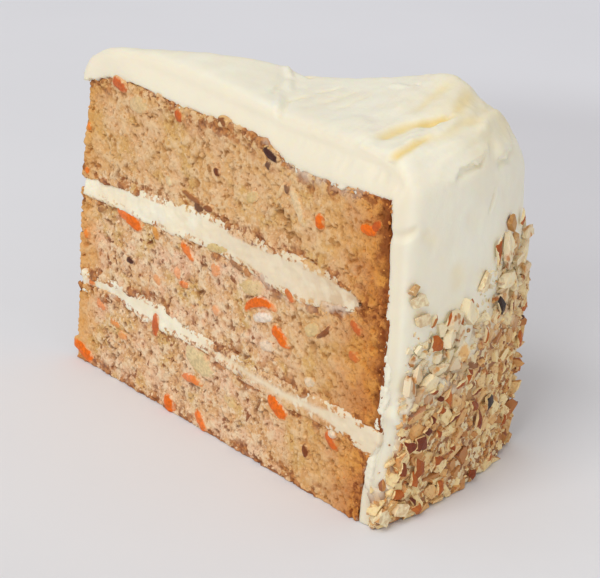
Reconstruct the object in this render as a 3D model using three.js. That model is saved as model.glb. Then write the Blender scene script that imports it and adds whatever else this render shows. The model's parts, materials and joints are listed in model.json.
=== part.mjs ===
// A slice of three-layer carrot cake, in millimetres with +Z up.
//
// Three sponge layers are stacked with two fillings of cream-cheese frosting between them.
// The same frosting covers the top and the curved outer side, and chopped nuts are pressed
// into the lower part of that side. Every piece is swept round the axis of the whole cake,
// so its shape is a closed outline in radius and height that changes a little with the angle.
// The tip of the slice lies near that axis, the outer side faces +X, and the far cut is at +Y.

import * as THREE from "three";
import { mergeVertices } from "three/addons/utils/BufferGeometryUtils.js";

// The whole cake
const SLICE_ANGLE = 30; // degrees, one of twelve slices
const SPONGE_RADIUS = 114.3; // nine-inch layers
const TIP_RADIUS = 1.5; // the tip is a little blunt
const GAP = 0.3; // between pieces that touch

// Layer boundaries: heights from the tip to the rim, at equal steps of radius
const BOTTOM_SPONGE_TOP = [21.0, 23.0, 21.8, 23.0, 21.2, 20.0, 21.2, 18.8];
const MIDDLE_SPONGE_BASE = [24.6, 26.0, 26.6, 24.6, 24.2, 24.0, 25.2, 24.6];
const MIDDLE_SPONGE_TOP = [48.6, 49.4, 49.4, 50.6, 50.0, 48.4, 50.6, 52.4];
const TOP_SPONGE_BASE = [52.6, 54.2, 55.4, 57.4, 56.6, 57.4, 57.6, 56.2];
const TOP_SPONGE_TOP = [79.6, 83.0, 82.6, 83.2, 83.8, 80.0, 81.6, 83.0];
const BOUNDARY_WAVE = 0.5; // height by which a boundary waves from one cut to the other
const WAVE_TURNS = 1.1; // waves from cut to cut
const WAVE_LENGTH = 23; // radius over which the waves shift by one radian
const TOP_RIM_START = 104; // the top sponge rounds down to its rim
const TOP_RIM_DROP = { near: 0, far: 6 };
const FILLING_END = 0.4; // least thickness of a filling at its end
const UPPER_FILLING_RADIUS = 104; // it stops short of the rim, where the sponges touch
const UPPER_FILLING_TAPER = 9; // length over which it thins to that end

// Bottom sponge: it shrank from the side of its tin, more at the table than higher up
const BASE_SHRINK = 5;
const BASE_SHRINK_HEIGHT = 23;

// Frosting on the outer side
const WALL_RADIUS = 117.1; // where the coat is thickest, over the middle layer
const WALL_FOOT_INSET = 3.6; // the near corner is drawn in at the foot
const WALL_FOOT_HEIGHT = 42;
const WALL_FOOT_FAR_SHARE = 0.15; // the far corner is drawn in less
const WALL_TOP = 76; // where the shoulder starts to turn in
const WALL_TOP_INSET = 0.8;
const WALL_WAVE = 0.25; // slanting waves left by the knife
const WALL_WAVE_LENGTH = 9;
const WALL_WAVE_SLANT = 11;

// Frosting on top
const TOP_HEIGHT = 90;
const TIP_DROP = 8; // the sheet falls away towards the tip
const TIP_DROP_LENGTH = 24;
const TIP_DROP_POWER = 2.4;
const SHEET_SWELL = 2.5; // the smooth sheet swells towards the far cut
const SHEET_SWELL_RADIUS = 42;
const SHEET_SWELL_LENGTH = 24;
const CREASE_RADIUS = 56.6; // the sheet ends in a crease, further out at the near cut
const CREASE_SLANT = 17;
const CREASE_DROP = { near: 0.8, far: 1.2 };
const CREASE_LENGTH = 4.5;
const RIM_RISE = { near: 0.6, far: 6.8 }; // the rim is piled up at the far corner
const RIM_RISE_START = 60; // radius where it begins
const RIM_RISE_POWER = 1.15;
const RIM_CREST = { near: 104, far: 94 }; // radius where the shoulder begins
const SHOULDER_POWER = { near: 3.2, far: 1.35 }; // 2 is an ellipse, less is flatter
const CUT_EDGE_WIDTH = { near: 7, far: 5 }; // the top is rounded towards each cut
const CUT_EDGE_DROP = { near: 3, far: 2.2 };

// Strokes of the palette knife, drawn round the rim: angles in degrees, depths below the surface
const STROKES = [
  { start: 100.8, end: 104, from: -14, to: 4, width: 2.2, depth: 1.7 },
  { start: 112.6, end: 109.8, from: -18, to: -4, width: 2.0, depth: 1.5 },
  { start: 113.6, end: 108.2, from: -7, to: 21, width: 2.4, depth: -1.7 },
  { start: 105, end: 104.6, from: 5, to: 24, width: 2.0, depth: 1.6 },
  { start: 106.2, end: 106.2, from: -12, to: 7, width: 1.8, depth: -0.8 },
  { start: 92, end: 87, from: -6, to: 13, width: 2.2, depth: -1.0 },
];

// Crescent ripples beyond the crease, where the knife was lifted
const RIPPLE_PITCH = 4.2;
const RIPPLE_HEIGHT = 0.45;
const RIPPLE_LENGTH = 17;
const RIPPLE_ANGLE = 2;
const RIPPLE_SPREAD = 7;

// Chopped nuts: the band is taller towards the far cut and has an uneven edge
const NUT_THICKNESS = 2.0;
const NUT_LUMP = 0.6;
const NUT_LUMP_SIZE = 3.3;
const NUT_LUMP_TURNS = 37; // lumps round the side, in radians of wave for each radian of angle
const NUT_EDGE_SHARE = 0.4; // of the thickness is left at the band's upper edge
const NUT_FOOT = 0.3;
const NUT_HEIGHT = { near: 47, far: 66 };
const NUT_EDGE_WAVE = 3;
const NUT_EDGE_TURNS = 24;

const HALF_ANGLE = THREE.MathUtils.degToRad(SLICE_ANGLE / 2);

// Mesh fineness
const FROSTING_STATIONS = 27;
const NUT_STATIONS = 25;
const SPONGE_STATIONS = 11;
const BOUNDARY_STEP = 8.5; // of radius
const SIDE_STEPS = 4;
const WALL_STEPS = 10;
const SHOULDER_STEPS = 12;
const TOP_STEPS = 38;
const NUT_STEPS = 12;

const COLOURS = { sponge: 0xc79a68, frosting: 0xf4ecd0, nuts: 0xd9b27c };

const { clamp, lerp, smoothstep, degToRad } = THREE.MathUtils;

// 0 at the near cut and 1 at the far cut
const farShare = (angle) => (angle + HALF_ANGLE) / (2 * HALF_ANGLE);
const between = (ends, angle) => lerp(ends.near, ends.far, farShare(angle));
const bell = (distance, width) => Math.exp(-((distance / width) ** 2));

// A smooth curve through evenly spaced heights, from the axis to the rim
function boundary(heights, phase) {
  const points = heights.map((height, i) => new THREE.Vector3(i, height, 0));
  const curve = new THREE.CatmullRomCurve3(points, false, "centripetal");
  return (radius, angle) => {
    const share = clamp(radius / SPONGE_RADIUS, 0, 1);
    const start = phase + radius / WAVE_LENGTH;
    const wave = Math.sin(start + WAVE_TURNS * 2 * Math.PI * farShare(angle)) - Math.sin(start);
    return curve.getPoint(share).y + BOUNDARY_WAVE * wave;
  };
}

const bottomSpongeTop = boundary(BOTTOM_SPONGE_TOP, 0.4);
const middleSpongeBase = boundary(MIDDLE_SPONGE_BASE, 1.3);
const middleSpongeFree = boundary(MIDDLE_SPONGE_TOP, 2.1);
const topSpongeFree = boundary(TOP_SPONGE_BASE, 3.0);
const topSpongeFull = boundary(TOP_SPONGE_TOP, 4.2);
function topSpongeTop(radius, angle) {
  const rim = Math.max(radius - TOP_RIM_START, 0) / (SPONGE_RADIUS - TOP_RIM_START);
  return topSpongeFull(radius, angle) - between(TOP_RIM_DROP, angle) * rim ** 2;
}

// The upper filling thins out near the rim, and the two sponges meet beyond it
function upperFillingShare(radius) {
  const left = clamp((UPPER_FILLING_RADIUS - radius) / UPPER_FILLING_TAPER, 0, 1);
  return Math.sqrt(1 - (1 - left) ** 2);
}
function upperFillingFace(side) {
  return (radius, angle) => {
    const low = middleSpongeFree(radius, angle);
    const high = topSpongeFree(radius, angle);
    const filled = Math.max(((high - low) / 2) * upperFillingShare(radius), GAP + FILLING_END / 2);
    const half = radius > UPPER_FILLING_RADIUS ? GAP / 2 : filled;
    return (low + high) / 2 + side * half;
  };
}
const middleSpongeTop = upperFillingFace(-1);
const topSpongeBase = upperFillingFace(1);

// Radius of the sponge's side at a height
function spongeSide(height) {
  const rise = clamp(height / BASE_SHRINK_HEIGHT, 0, 1);
  return SPONGE_RADIUS - BASE_SHRINK * (1 - rise ** 3);
}

// Radius of the frosting's outer side at a height
function wallRadius(height, angle) {
  const foot = 1 - smoothstep(height, 0, WALL_FOOT_HEIGHT);
  const share = lerp(1, WALL_FOOT_FAR_SHARE, farShare(angle));
  const turn = smoothstep(height, 0.75 * WALL_TOP, WALL_TOP);
  const wave = WALL_WAVE * Math.sin(height / WALL_WAVE_LENGTH + WALL_WAVE_SLANT * angle);
  return WALL_RADIUS - WALL_FOOT_INSET * share * foot - WALL_TOP_INSET * turn + wave;
}

// How far the strokes and ripples lower the frosting's top
function strokeDepth(radius, angle) {
  let depth = 0;
  for (const stroke of STROKES) {
    const middle = degToRad((stroke.from + stroke.to) / 2);
    const reach = degToRad((stroke.to - stroke.from) / 2);
    const share = (angle - middle) / reach;
    const line = lerp(stroke.start, stroke.end, (share + 1) / 2);
    depth += stroke.depth * clamp(1 - share ** 2, 0, 1) * bell(radius - line, stroke.width);
  }
  return depth;
}

function creaseRadius(angle) {
  return CREASE_RADIUS + CREASE_SLANT * (1 - farShare(angle)) ** 2;
}

function rippleHeight(radius, angle) {
  const beyond = radius - creaseRadius(angle);
  if (beyond < 0 || beyond > RIPPLE_LENGTH) return 0;
  const fade = Math.sin((Math.PI * beyond) / RIPPLE_LENGTH);
  const side = bell(angle - degToRad(RIPPLE_ANGLE), degToRad(RIPPLE_SPREAD));
  return RIPPLE_HEIGHT * fade * side * Math.sin((2 * Math.PI * beyond) / RIPPLE_PITCH);
}

// Height of the open top, before it turns down at the rim
function sheetHeight(radius, angle) {
  const share = farShare(angle);
  const swell = SHEET_SWELL * share * bell(radius - SHEET_SWELL_RADIUS, SHEET_SWELL_LENGTH);
  const crease = creaseRadius(angle);
  const drop = between(CREASE_DROP, angle) * smoothstep(radius, crease - CREASE_LENGTH, crease);
  const rise = between(RIM_RISE, angle) + between(CREASE_DROP, angle);
  const length = between(RIM_CREST, angle) - RIM_RISE_START;
  const rim = clamp((radius - RIM_RISE_START) / length, 0, 1) ** RIM_RISE_POWER;
  return TOP_HEIGHT + swell - drop + rise * rim;
}

// The top is lower near each cut, as the knife rounded it
function cutEdgeDrop(radius, angle) {
  const distance = radius * Math.sin(HALF_ANGLE - Math.abs(angle));
  const inside = clamp(distance / between(CUT_EDGE_WIDTH, angle), 0, 1);
  const tipFade = smoothstep(radius, 0, TIP_DROP_LENGTH);
  return between(CUT_EDGE_DROP, angle) * tipFade * (1 - Math.sqrt(1 - (1 - inside) ** 2));
}

// Radii at which every boundary is cut into straight steps, so that neighbours share them
const BOUNDARY_RADII = [TIP_RADIUS];
for (let radius = BOUNDARY_STEP; radius < UPPER_FILLING_RADIUS; radius += BOUNDARY_STEP) {
  BOUNDARY_RADII.push(radius);
}
BOUNDARY_RADII.push(UPPER_FILLING_RADIUS, UPPER_FILLING_RADIUS + GAP);
BOUNDARY_RADII.push((UPPER_FILLING_RADIUS + SPONGE_RADIUS) / 2);
const radiiTo = (end) => [...BOUNDARY_RADII.filter((radius) => radius < end), end];

// Outline of the frosting: up the outer side, over the shoulder, in along the top to the
// tip, and back along the sponge's top and side
function frostingOutline(angle) {
  const outline = [];
  const crest = between(RIM_CREST, angle);
  const crestHeight = sheetHeight(crest, angle);
  for (let i = 0; i <= WALL_STEPS; i++) {
    const height = lerp(GAP, WALL_TOP, i / WALL_STEPS);
    outline.push([wallRadius(height, angle), height]);
  }
  const wallEnd = wallRadius(WALL_TOP, angle);
  const power = 2 / between(SHOULDER_POWER, angle);
  for (let i = 1; i <= SHOULDER_STEPS; i++) {
    const turn = (i / SHOULDER_STEPS) * (Math.PI / 2);
    const radius = lerp(crest, wallEnd, Math.cos(turn) ** power);
    const height = lerp(WALL_TOP, crestHeight, Math.sin(turn) ** power);
    const lowered = strokeDepth(radius, angle) + cutEdgeDrop(radius, angle) * Math.sin(turn);
    outline.push([radius, height - lowered * Math.sin(turn)]);
  }
  for (let i = 1; i <= TOP_STEPS; i++) {
    const radius = lerp(crest, TIP_RADIUS, i / TOP_STEPS);
    const tip = TIP_DROP * clamp(1 - radius / TIP_DROP_LENGTH, 0, 1) ** TIP_DROP_POWER;
    const lowered = tip + cutEdgeDrop(radius, angle) + strokeDepth(radius, angle);
    outline.push([radius, sheetHeight(radius, angle) + rippleHeight(radius, angle) - lowered]);
  }
  for (const radius of radiiTo(SPONGE_RADIUS + GAP)) {
    outline.push([radius, topSpongeTop(radius, angle) + GAP]);
  }
  for (let i = SIDE_STEPS; i >= 0; i--) {
    const height = lerp(GAP, BASE_SHRINK_HEIGHT, i / SIDE_STEPS);
    outline.push([spongeSide(height) + GAP, height]);
  }
  return outline;
}

// Outline of a layer between two boundaries, up its side and back along its top
function layerOutline(base, top, sideAt, gap) {
  return (angle) => {
    const outline = [];
    const low = (radius) => base(radius, angle) + gap;
    const high = (radius) => top(radius, angle);
    const lowEnd = sideAt(low(SPONGE_RADIUS));
    const highEnd = sideAt(high(SPONGE_RADIUS));
    for (const radius of radiiTo(lowEnd)) outline.push([radius, low(radius)]);
    for (let i = 1; i < SIDE_STEPS; i++) {
      const height = lerp(low(lowEnd), high(highEnd), i / SIDE_STEPS);
      outline.push([sideAt(height), height]);
    }
    for (const radius of radiiTo(highEnd).reverse()) outline.push([radius, high(radius)]);
    return outline;
  };
}

// The nuts' lumpy outer face, as a thickness over the frosting
function nutThickness(height, angle, top) {
  const along = NUT_LUMP_TURNS * angle;
  const lumps = Math.sin(height / NUT_LUMP_SIZE + along) * Math.cos(height / NUT_LUMP_SIZE - along);
  const edge = clamp((top - height) / NUT_THICKNESS, 0, 1);
  return (NUT_THICKNESS + NUT_LUMP * lumps) * lerp(NUT_EDGE_SHARE, 1, edge);
}
function nutOutline(angle) {
  const outline = [];
  const wave = Math.sin(NUT_EDGE_TURNS * angle) + 0.6 * Math.sin(2.4 * NUT_EDGE_TURNS * angle + 1);
  const top = between(NUT_HEIGHT, angle) + NUT_EDGE_WAVE * wave;
  for (let i = 0; i <= NUT_STEPS; i++) {
    const height = lerp(NUT_FOOT, top, i / NUT_STEPS);
    outline.push([wallRadius(height, angle) + GAP + nutThickness(height, angle, top), height]);
  }
  for (let i = NUT_STEPS; i >= 0; i -= 2) {
    const height = lerp(NUT_FOOT, top, i / NUT_STEPS);
    outline.push([wallRadius(height, angle) + GAP, height]);
  }
  return outline;
}

// Sweep an outline from the near cut to the far cut and close both cuts
function sweep(name, colour, roughness, outlineAt, stations) {
  const positions = [];
  const faces = [];
  const outlines = [];
  for (let station = 0; station < stations; station++) {
    // stations crowd towards the cuts, where the top is rounded
    const angle = -HALF_ANGLE * Math.cos((Math.PI * station) / (stations - 1));
    const outline = outlineAt(angle);
    outlines.push(outline);
    for (const [radius, height] of outline) {
      positions.push(radius * Math.cos(angle), radius * Math.sin(angle), height);
    }
  }
  const count = outlines[0].length;
  for (let station = 0; station + 1 < stations; station++) {
    for (let i = 0; i < count; i++) {
      const a = station * count + i;
      const b = station * count + ((i + 1) % count);
      faces.push(a, b + count, b, a, a + count, b + count);
    }
  }
  for (const [station, turn] of [[0, 1], [stations - 1, -1]]) {
    const flat = outlines[station].map(([radius, height]) => new THREE.Vector2(radius, height));
    for (const [a, b, c] of THREE.ShapeUtils.triangulateShape(flat, [])) {
      const area = THREE.ShapeUtils.area([flat[a], flat[b], flat[c]]);
      const corners = area * turn > 0 ? [a, b, c] : [a, c, b];
      faces.push(...corners.map((corner) => station * count + corner));
    }
  }
  let geometry = new THREE.BufferGeometry();
  geometry.setAttribute("position", new THREE.Float32BufferAttribute(positions, 3));
  geometry.setIndex(faces);
  geometry = mergeVertices(geometry);
  geometry.computeVertexNormals();
  const material = new THREE.MeshStandardMaterial({ color: colour, roughness, metalness: 0 });
  const mesh = new THREE.Mesh(geometry, material);
  mesh.name = name;
  return mesh;
}

const table = () => 0;
const fullSide = () => SPONGE_RADIUS;
const fillingSide = () => UPPER_FILLING_RADIUS;
const belowGap = (face) => (radius, angle) => face(radius, angle) - GAP;
const spongeBottom = layerOutline(table, bottomSpongeTop, spongeSide, 0);
const fillingLower = layerOutline(bottomSpongeTop, belowGap(middleSpongeBase), spongeSide, GAP);
const spongeMiddle = layerOutline(middleSpongeBase, middleSpongeTop, fullSide, 0);
const fillingUpper = layerOutline(middleSpongeTop, belowGap(topSpongeBase), fillingSide, GAP);
const spongeTop = layerOutline(topSpongeBase, topSpongeTop, fullSide, 0);

const slice = new THREE.Group();
slice.add(
  sweep("sponge_bottom", COLOURS.sponge, 0.95, spongeBottom, SPONGE_STATIONS),
  sweep("filling_lower", COLOURS.frosting, 0.5, fillingLower, SPONGE_STATIONS),
  sweep("sponge_middle", COLOURS.sponge, 0.95, spongeMiddle, SPONGE_STATIONS),
  sweep("filling_upper", COLOURS.frosting, 0.5, fillingUpper, SPONGE_STATIONS),
  sweep("sponge_top", COLOURS.sponge, 0.95, spongeTop, SPONGE_STATIONS),
  sweep("frosting_coat", COLOURS.frosting, 0.5, frostingOutline, FROSTING_STATIONS),
  sweep("nut_coat", COLOURS.nuts, 0.8, nutOutline, NUT_STATIONS),
);

// The frame's origin is under the middle of the slice
const bounds = new THREE.Box3().setFromObject(slice);
const cake = new THREE.Group();
const middle = bounds.getCenter(new THREE.Vector3());
slice.position.set(-middle.x, -middle.y, -bounds.min.z);
cake.add(slice);

export default cake;
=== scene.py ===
# %% Load the fixed frame
import json
import math
import random

import bmesh
import bpy
from mathutils import Matrix, Vector
from mathutils.bvhtree import BVHTree

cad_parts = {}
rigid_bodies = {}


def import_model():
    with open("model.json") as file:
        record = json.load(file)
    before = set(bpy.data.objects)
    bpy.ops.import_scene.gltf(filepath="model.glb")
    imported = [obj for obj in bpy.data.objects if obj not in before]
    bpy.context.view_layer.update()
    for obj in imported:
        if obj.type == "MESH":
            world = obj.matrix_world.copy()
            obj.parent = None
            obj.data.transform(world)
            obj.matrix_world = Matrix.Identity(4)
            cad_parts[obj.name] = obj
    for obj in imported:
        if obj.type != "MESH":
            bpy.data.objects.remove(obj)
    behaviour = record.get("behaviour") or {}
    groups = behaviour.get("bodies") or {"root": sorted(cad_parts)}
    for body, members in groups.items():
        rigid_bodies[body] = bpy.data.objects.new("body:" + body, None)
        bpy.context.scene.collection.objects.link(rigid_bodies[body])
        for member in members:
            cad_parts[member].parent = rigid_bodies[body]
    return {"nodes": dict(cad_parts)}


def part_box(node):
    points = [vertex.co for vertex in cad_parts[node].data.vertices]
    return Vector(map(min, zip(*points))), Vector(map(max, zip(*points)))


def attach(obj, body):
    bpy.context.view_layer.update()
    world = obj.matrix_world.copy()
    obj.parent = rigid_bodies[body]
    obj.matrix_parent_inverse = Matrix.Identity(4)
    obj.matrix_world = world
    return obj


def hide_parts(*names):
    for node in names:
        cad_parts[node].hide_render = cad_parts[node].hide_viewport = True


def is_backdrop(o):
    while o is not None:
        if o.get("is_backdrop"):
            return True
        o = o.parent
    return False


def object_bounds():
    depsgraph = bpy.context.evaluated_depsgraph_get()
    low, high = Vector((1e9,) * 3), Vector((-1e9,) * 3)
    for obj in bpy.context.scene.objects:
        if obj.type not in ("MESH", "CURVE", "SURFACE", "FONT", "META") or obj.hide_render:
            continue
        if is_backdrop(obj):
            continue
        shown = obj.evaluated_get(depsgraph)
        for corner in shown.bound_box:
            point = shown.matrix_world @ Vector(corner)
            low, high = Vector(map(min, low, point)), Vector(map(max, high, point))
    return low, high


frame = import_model()
cad_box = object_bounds()
print("frame nodes:", sorted(frame["nodes"]))

# %% [markdown]
# A slice of cake is easiest to describe as the baker sees it: how far out from the middle
# of the whole cake, how far round, and how high. The slice is a twelfth of a round cake.
# Its tip lies near the axis, its two cuts are 15 degrees either side of +X, and the curved
# outer side faces +X. Sizes are written in millimetres and turned into metres here.

# %% Places on the slice
MM = 0.001
HALF_DEGREES = 15
HALF_ANGLE = math.radians(HALF_DEGREES)
TIP_RADIUS = 1.5
NEAR = -1
FAR = 1
UP = Vector((0, 0, 1))

layer_low, layer_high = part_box("sponge_middle")
AXIS = Vector((
    layer_low.x - TIP_RADIUS * MM * math.cos(HALF_ANGLE),
    (layer_low.y + layer_high.y) / 2,
    0,
))


def from_axis(radius, degrees, height=0.0):
    """A place in mm, seen from the cake's axis, by its distance, angle and height."""
    angle = math.radians(degrees)
    return Vector((radius * math.cos(angle), radius * math.sin(angle), height))


def cut_out(side):
    """The direction that a cut faces."""
    return Vector((-math.sin(HALF_ANGLE), side * math.cos(HALF_ANGLE), 0))


def cut_along(side):
    """The direction from the tip to the rim in a cut."""
    return Vector((math.cos(HALF_ANGLE), side * math.sin(HALF_ANGLE), 0))


def on_cut(side, radius, height, proud=0.0):
    """A place on a cut, and how far it stands proud of it."""
    flat = AXIS + (cut_along(side) * radius + UP * height) * MM
    return flat + cut_out(side) * proud * MM


print("cake axis at", tuple(round(v, 4) for v in AXIS))

# %% [markdown]
# The camera stands a little more than half a metre from the slice, to the left of its outer
# side, and looks down at it. A long lens keeps the edges nearly parallel. It leans by a few
# degrees, as a camera held in the hand does.

# %% Camera
CAMERA_AZIMUTH = math.radians(31.32)
CAMERA_ELEVATION = math.radians(23.79)
CAMERA_LEAN = math.radians(3.92)
CAMERA_DISTANCE = 549.3
CAMERA_TARGET = (68.36, 0, 39.67)
LENS = 133.3

away = Vector((
    math.sin(CAMERA_AZIMUTH) * math.cos(CAMERA_ELEVATION),
    -math.cos(CAMERA_AZIMUTH) * math.cos(CAMERA_ELEVATION),
    math.sin(CAMERA_ELEVATION),
))
level = Vector((math.cos(CAMERA_AZIMUTH), math.sin(CAMERA_AZIMUTH), 0))
upright = away.cross(level)
right = level * math.cos(CAMERA_LEAN) + upright * math.sin(CAMERA_LEAN)
up = upright * math.cos(CAMERA_LEAN) - level * math.sin(CAMERA_LEAN)
target = AXIS + Vector(CAMERA_TARGET) * MM

bpy.ops.object.camera_add(
    location=target + away * CAMERA_DISTANCE * MM,
    rotation=Matrix((right, up, away)).transposed().to_euler(),
)
camera = bpy.context.object
camera.data.lens = LENS
camera.data.sensor_width = 36
camera.data.clip_start = 0.05
camera.data.clip_end = 20
bpy.context.scene.camera = camera
print("camera at", tuple(round(v, 3) for v in camera.location))

# %% [markdown]
# Node trees for shapes and for finishes use the same small steps: a sum, a noise, a range
# turned into another. These helpers add one node each and return its output, so that a
# recipe reads like a sentence. A value can be a number or the output of another node.

# %% Node helpers
NODE_GAP = 190


def add_node(tree, kind, **settings):
    """Add a node beside the last one and set its options."""
    node = tree.nodes.new(kind)
    count = len(tree.nodes)
    node.location = (NODE_GAP * (count % 12), -NODE_GAP * (count // 12))
    for key, value in settings.items():
        setattr(node, key, value)
    return node


def feed(tree, socket, value):
    """Link an output to a socket, or write a plain value on it."""
    if isinstance(value, bpy.types.NodeSocket):
        tree.links.new(value, socket)
    else:
        socket.default_value = value


def maths(tree, operation, *values, clamp=False):
    node = add_node(tree, "ShaderNodeMath", operation=operation, use_clamp=clamp)
    for socket, value in zip(node.inputs, values):
        feed(tree, socket, value)
    return node.outputs[0]


def product(tree, *values):
    """All the values multiplied together."""
    result = values[0]
    for value in values[1:]:
        result = maths(tree, "MULTIPLY", result, value)
    return result


def weighted_sum(tree, *parts):
    """Values added up, each multiplied by its own weight."""
    total = 0.0
    for value, weight in parts:
        total = maths(tree, "MULTIPLY_ADD", value, weight, total)
    return total


def vector_maths(tree, operation, *values):
    node = add_node(tree, "ShaderNodeVectorMath", operation=operation)
    for socket, value in zip(node.inputs, values):
        feed(tree, socket, value)
    return node.outputs["Value" if operation in ("DOT_PRODUCT", "LENGTH") else "Vector"]


def scaled(tree, vector, factor):
    node = add_node(tree, "ShaderNodeVectorMath", operation="SCALE")
    feed(tree, node.inputs[0], vector)
    feed(tree, node.inputs["Scale"], factor)
    return node.outputs["Vector"]


def span(tree, value, low, high, to_low=0.0, to_high=1.0):
    """Turn one range into another, eased at both ends."""
    node = add_node(tree, "ShaderNodeMapRange", interpolation_type="SMOOTHSTEP")
    for socket, given in zip(node.inputs, (value, low, high, to_low, to_high)):
        feed(tree, socket, given)
    return node.outputs[0]


def between(tree, value, start, full, fading, end):
    """A mask that rises from start to full, and falls again from fading to end."""
    return product(tree, span(tree, value, start, full), span(tree, value, end, fading))


def noise(tree, vector, size, detail=2.0, roughness=0.5, distortion=0.0):
    """Soft noise from 0 to 1 whose lumps are about size across."""
    node = add_node(tree, "ShaderNodeTexNoise")
    feed(tree, node.inputs["Vector"], vector)
    node.inputs["Scale"].default_value = 1 / size
    node.inputs["Detail"].default_value = detail
    node.inputs["Roughness"].default_value = roughness
    node.inputs["Distortion"].default_value = distortion
    return node.outputs[0]


def centred_noise(tree, vector, size, **settings):
    """The same noise, from -0.5 to 0.5."""
    return maths(tree, "SUBTRACT", noise(tree, vector, size, **settings), 0.5)


def shifted(tree, vector, x, y, z):
    """The same place somewhere else in the noise, so that two noises don't match."""
    return vector_maths(tree, "ADD", vector, (x, y, z))


def cells(tree, vector, size):
    """Cells about size across, with a random colour for each."""
    node = add_node(tree, "ShaderNodeTexVoronoi")
    feed(tree, node.inputs["Vector"], vector)
    node.inputs["Scale"].default_value = 1 / size
    return node.outputs["Color"]


def channel(tree, colour, index):
    """One of the three numbers of a colour or vector."""
    node = add_node(tree, "ShaderNodeSeparateXYZ")
    feed(tree, node.inputs[0], colour)
    return node.outputs[index]


def combined(tree, *values):
    """A vector put together from up to three numbers."""
    node = add_node(tree, "ShaderNodeCombineXYZ")
    for socket, value in zip(node.inputs, values):
        feed(tree, socket, value)
    return node.outputs[0]


def pushed(tree, vector, size, reach):
    """The vector, moved about by noise of that size, by up to reach."""
    node = add_node(tree, "ShaderNodeTexNoise")
    feed(tree, node.inputs["Vector"], vector)
    node.inputs["Scale"].default_value = 1 / size
    centred = vector_maths(tree, "SUBTRACT", node.outputs[1], (0.5, 0.5, 0.5))
    return vector_maths(tree, "ADD", vector, scaled(tree, centred, reach * 2))


def flat_part(tree, place):
    return vector_maths(tree, "MULTIPLY", place, (1, 1, 0))


def height_of(tree, place):
    return channel(tree, place, 2)


def radius_of(tree, place):
    return vector_maths(tree, "LENGTH", flat_part(tree, place))


def degrees_of(tree, place):
    turn = maths(tree, "ARCTAN2", channel(tree, place, 1), channel(tree, place, 0))
    return maths(tree, "MULTIPLY", turn, math.degrees(1))


# %% [markdown]
# Pieces that the frame already holds in the right shape, such as a sponge layer, are only
# refined: the solid is copied, its loose corners are merged, and a Remesh modifier covers
# it with small even faces that can carry crumb or knife marks. A copy keeps the frame's
# own mesh untouched. The size of those faces is a trade between detail and time.

# %% Piece helpers
WELD = 0.01 * MM
# A point this near a wall's radius, in mm, belongs to the wall
WALL_SLACK = 0.3
# What would hang below the table is pressed nearly flat, to this share of its depth
PRESSED = 0.05


def deselect():
    bpy.ops.object.select_all(action="DESELECT")


def make_active(piece):
    deselect()
    piece.select_set(True)
    bpy.context.view_layer.objects.active = piece


def solid_copy(node, name):
    """A welded copy of a frame solid, left active."""
    mesh = frame["nodes"][node].data.copy()
    mesh.materials.clear()
    piece = bpy.data.objects.new(name, mesh)
    bpy.context.scene.collection.objects.link(piece)
    make_active(piece)
    bpy.ops.object.mode_set(mode="EDIT")
    bpy.ops.mesh.select_all(action="SELECT")
    bpy.ops.mesh.remove_doubles(threshold=WELD)
    bpy.ops.object.mode_set(mode="OBJECT")
    return piece


def join_pieces(pieces, name):
    """Join pieces into the first one."""
    deselect()
    for piece in pieces:
        piece.select_set(True)
    bpy.context.view_layer.objects.active = pieces[0]
    if len(pieces) > 1:
        bpy.ops.object.join()
    pieces[0].name = name
    return pieces[0]


def make_guide(name, nodes):
    """Some of the frame's solids joined in one, for a node tree to measure from."""
    return join_pieces([solid_copy(node, name) for node in nodes], name)


def apply_modifier(piece, kind, **settings):
    """Add a modifier, set it and apply it, as with the modifier panel."""
    make_active(piece)
    modifier = piece.modifiers.new(kind.lower(), kind)
    for key, value in settings.items():
        setattr(modifier, key, value)
    bpy.ops.object.modifier_apply(modifier=modifier.name)


def remesh(piece, face):
    """Cover the piece with even faces of a size in mm."""
    apply_modifier(piece, "REMESH", mode="VOXEL", voxel_size=face * MM)


def apply_nodes(piece, tree, **values):
    """Run a geometry node tree on the piece, with values for its named inputs."""
    make_active(piece)
    modifier = piece.modifiers.new(tree.name, "NODES")
    modifier.node_group = tree
    for item in tree.interface.items_tree:
        if item.in_out == "INPUT" and item.name in values:
            modifier[item.identifier] = values[item.name]
    bpy.ops.object.modifier_apply(modifier=modifier.name)


def pick_faces(piece, wanted):
    """Leave the piece in edit mode with only the faces selected that the test picks."""
    make_active(piece)
    bpy.ops.object.mode_set(mode="EDIT")
    bpy.ops.mesh.select_mode(type="FACE")
    bpy.ops.mesh.select_all(action="DESELECT")
    shape = bmesh.from_edit_mesh(piece.data)
    for face in shape.faces:
        face.select_set(wanted(face.normal, face.calc_center_median()))
    bmesh.update_edit_mesh(piece.data)


def swell(piece, wanted, amount):
    """Push out the faces that the test picks, along their normals, by an amount in mm."""
    pick_faces(piece, wanted)
    bpy.ops.transform.shrink_fatten(value=amount * MM)
    bpy.ops.object.mode_set(mode="OBJECT")


def lean_tip(piece, reach, offset, low, high):
    """Move what lies within reach of the tip, most at the tip and above the height high."""
    for vertex in piece.data.vertices:
        place = (vertex.co - AXIS) / MM
        share = 1 - place.xy.length / reach
        rise = (place.z - low) / (high - low)
        if share > 0 and rise > 0:
            vertex.co += Vector(offset) * MM * share * min(rise, 1)


def draw_in(piece, wall):
    """Move a wall of this radius inwards, most near the slice's upper corner."""
    low, high = CORNER_HEIGHTS
    for vertex in piece.data.vertices:
        place = (vertex.co - AXIS) / MM
        rise = (place.z - low) / (high - low)
        if abs(place.xy.length - wall) < WALL_SLACK and rise > 0:
            inwards = Vector((-place.x, -place.y, 0)).normalized()
            vertex.co += inwards * CORNER_DRAWN_IN * min(rise, 1) * MM


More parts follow.
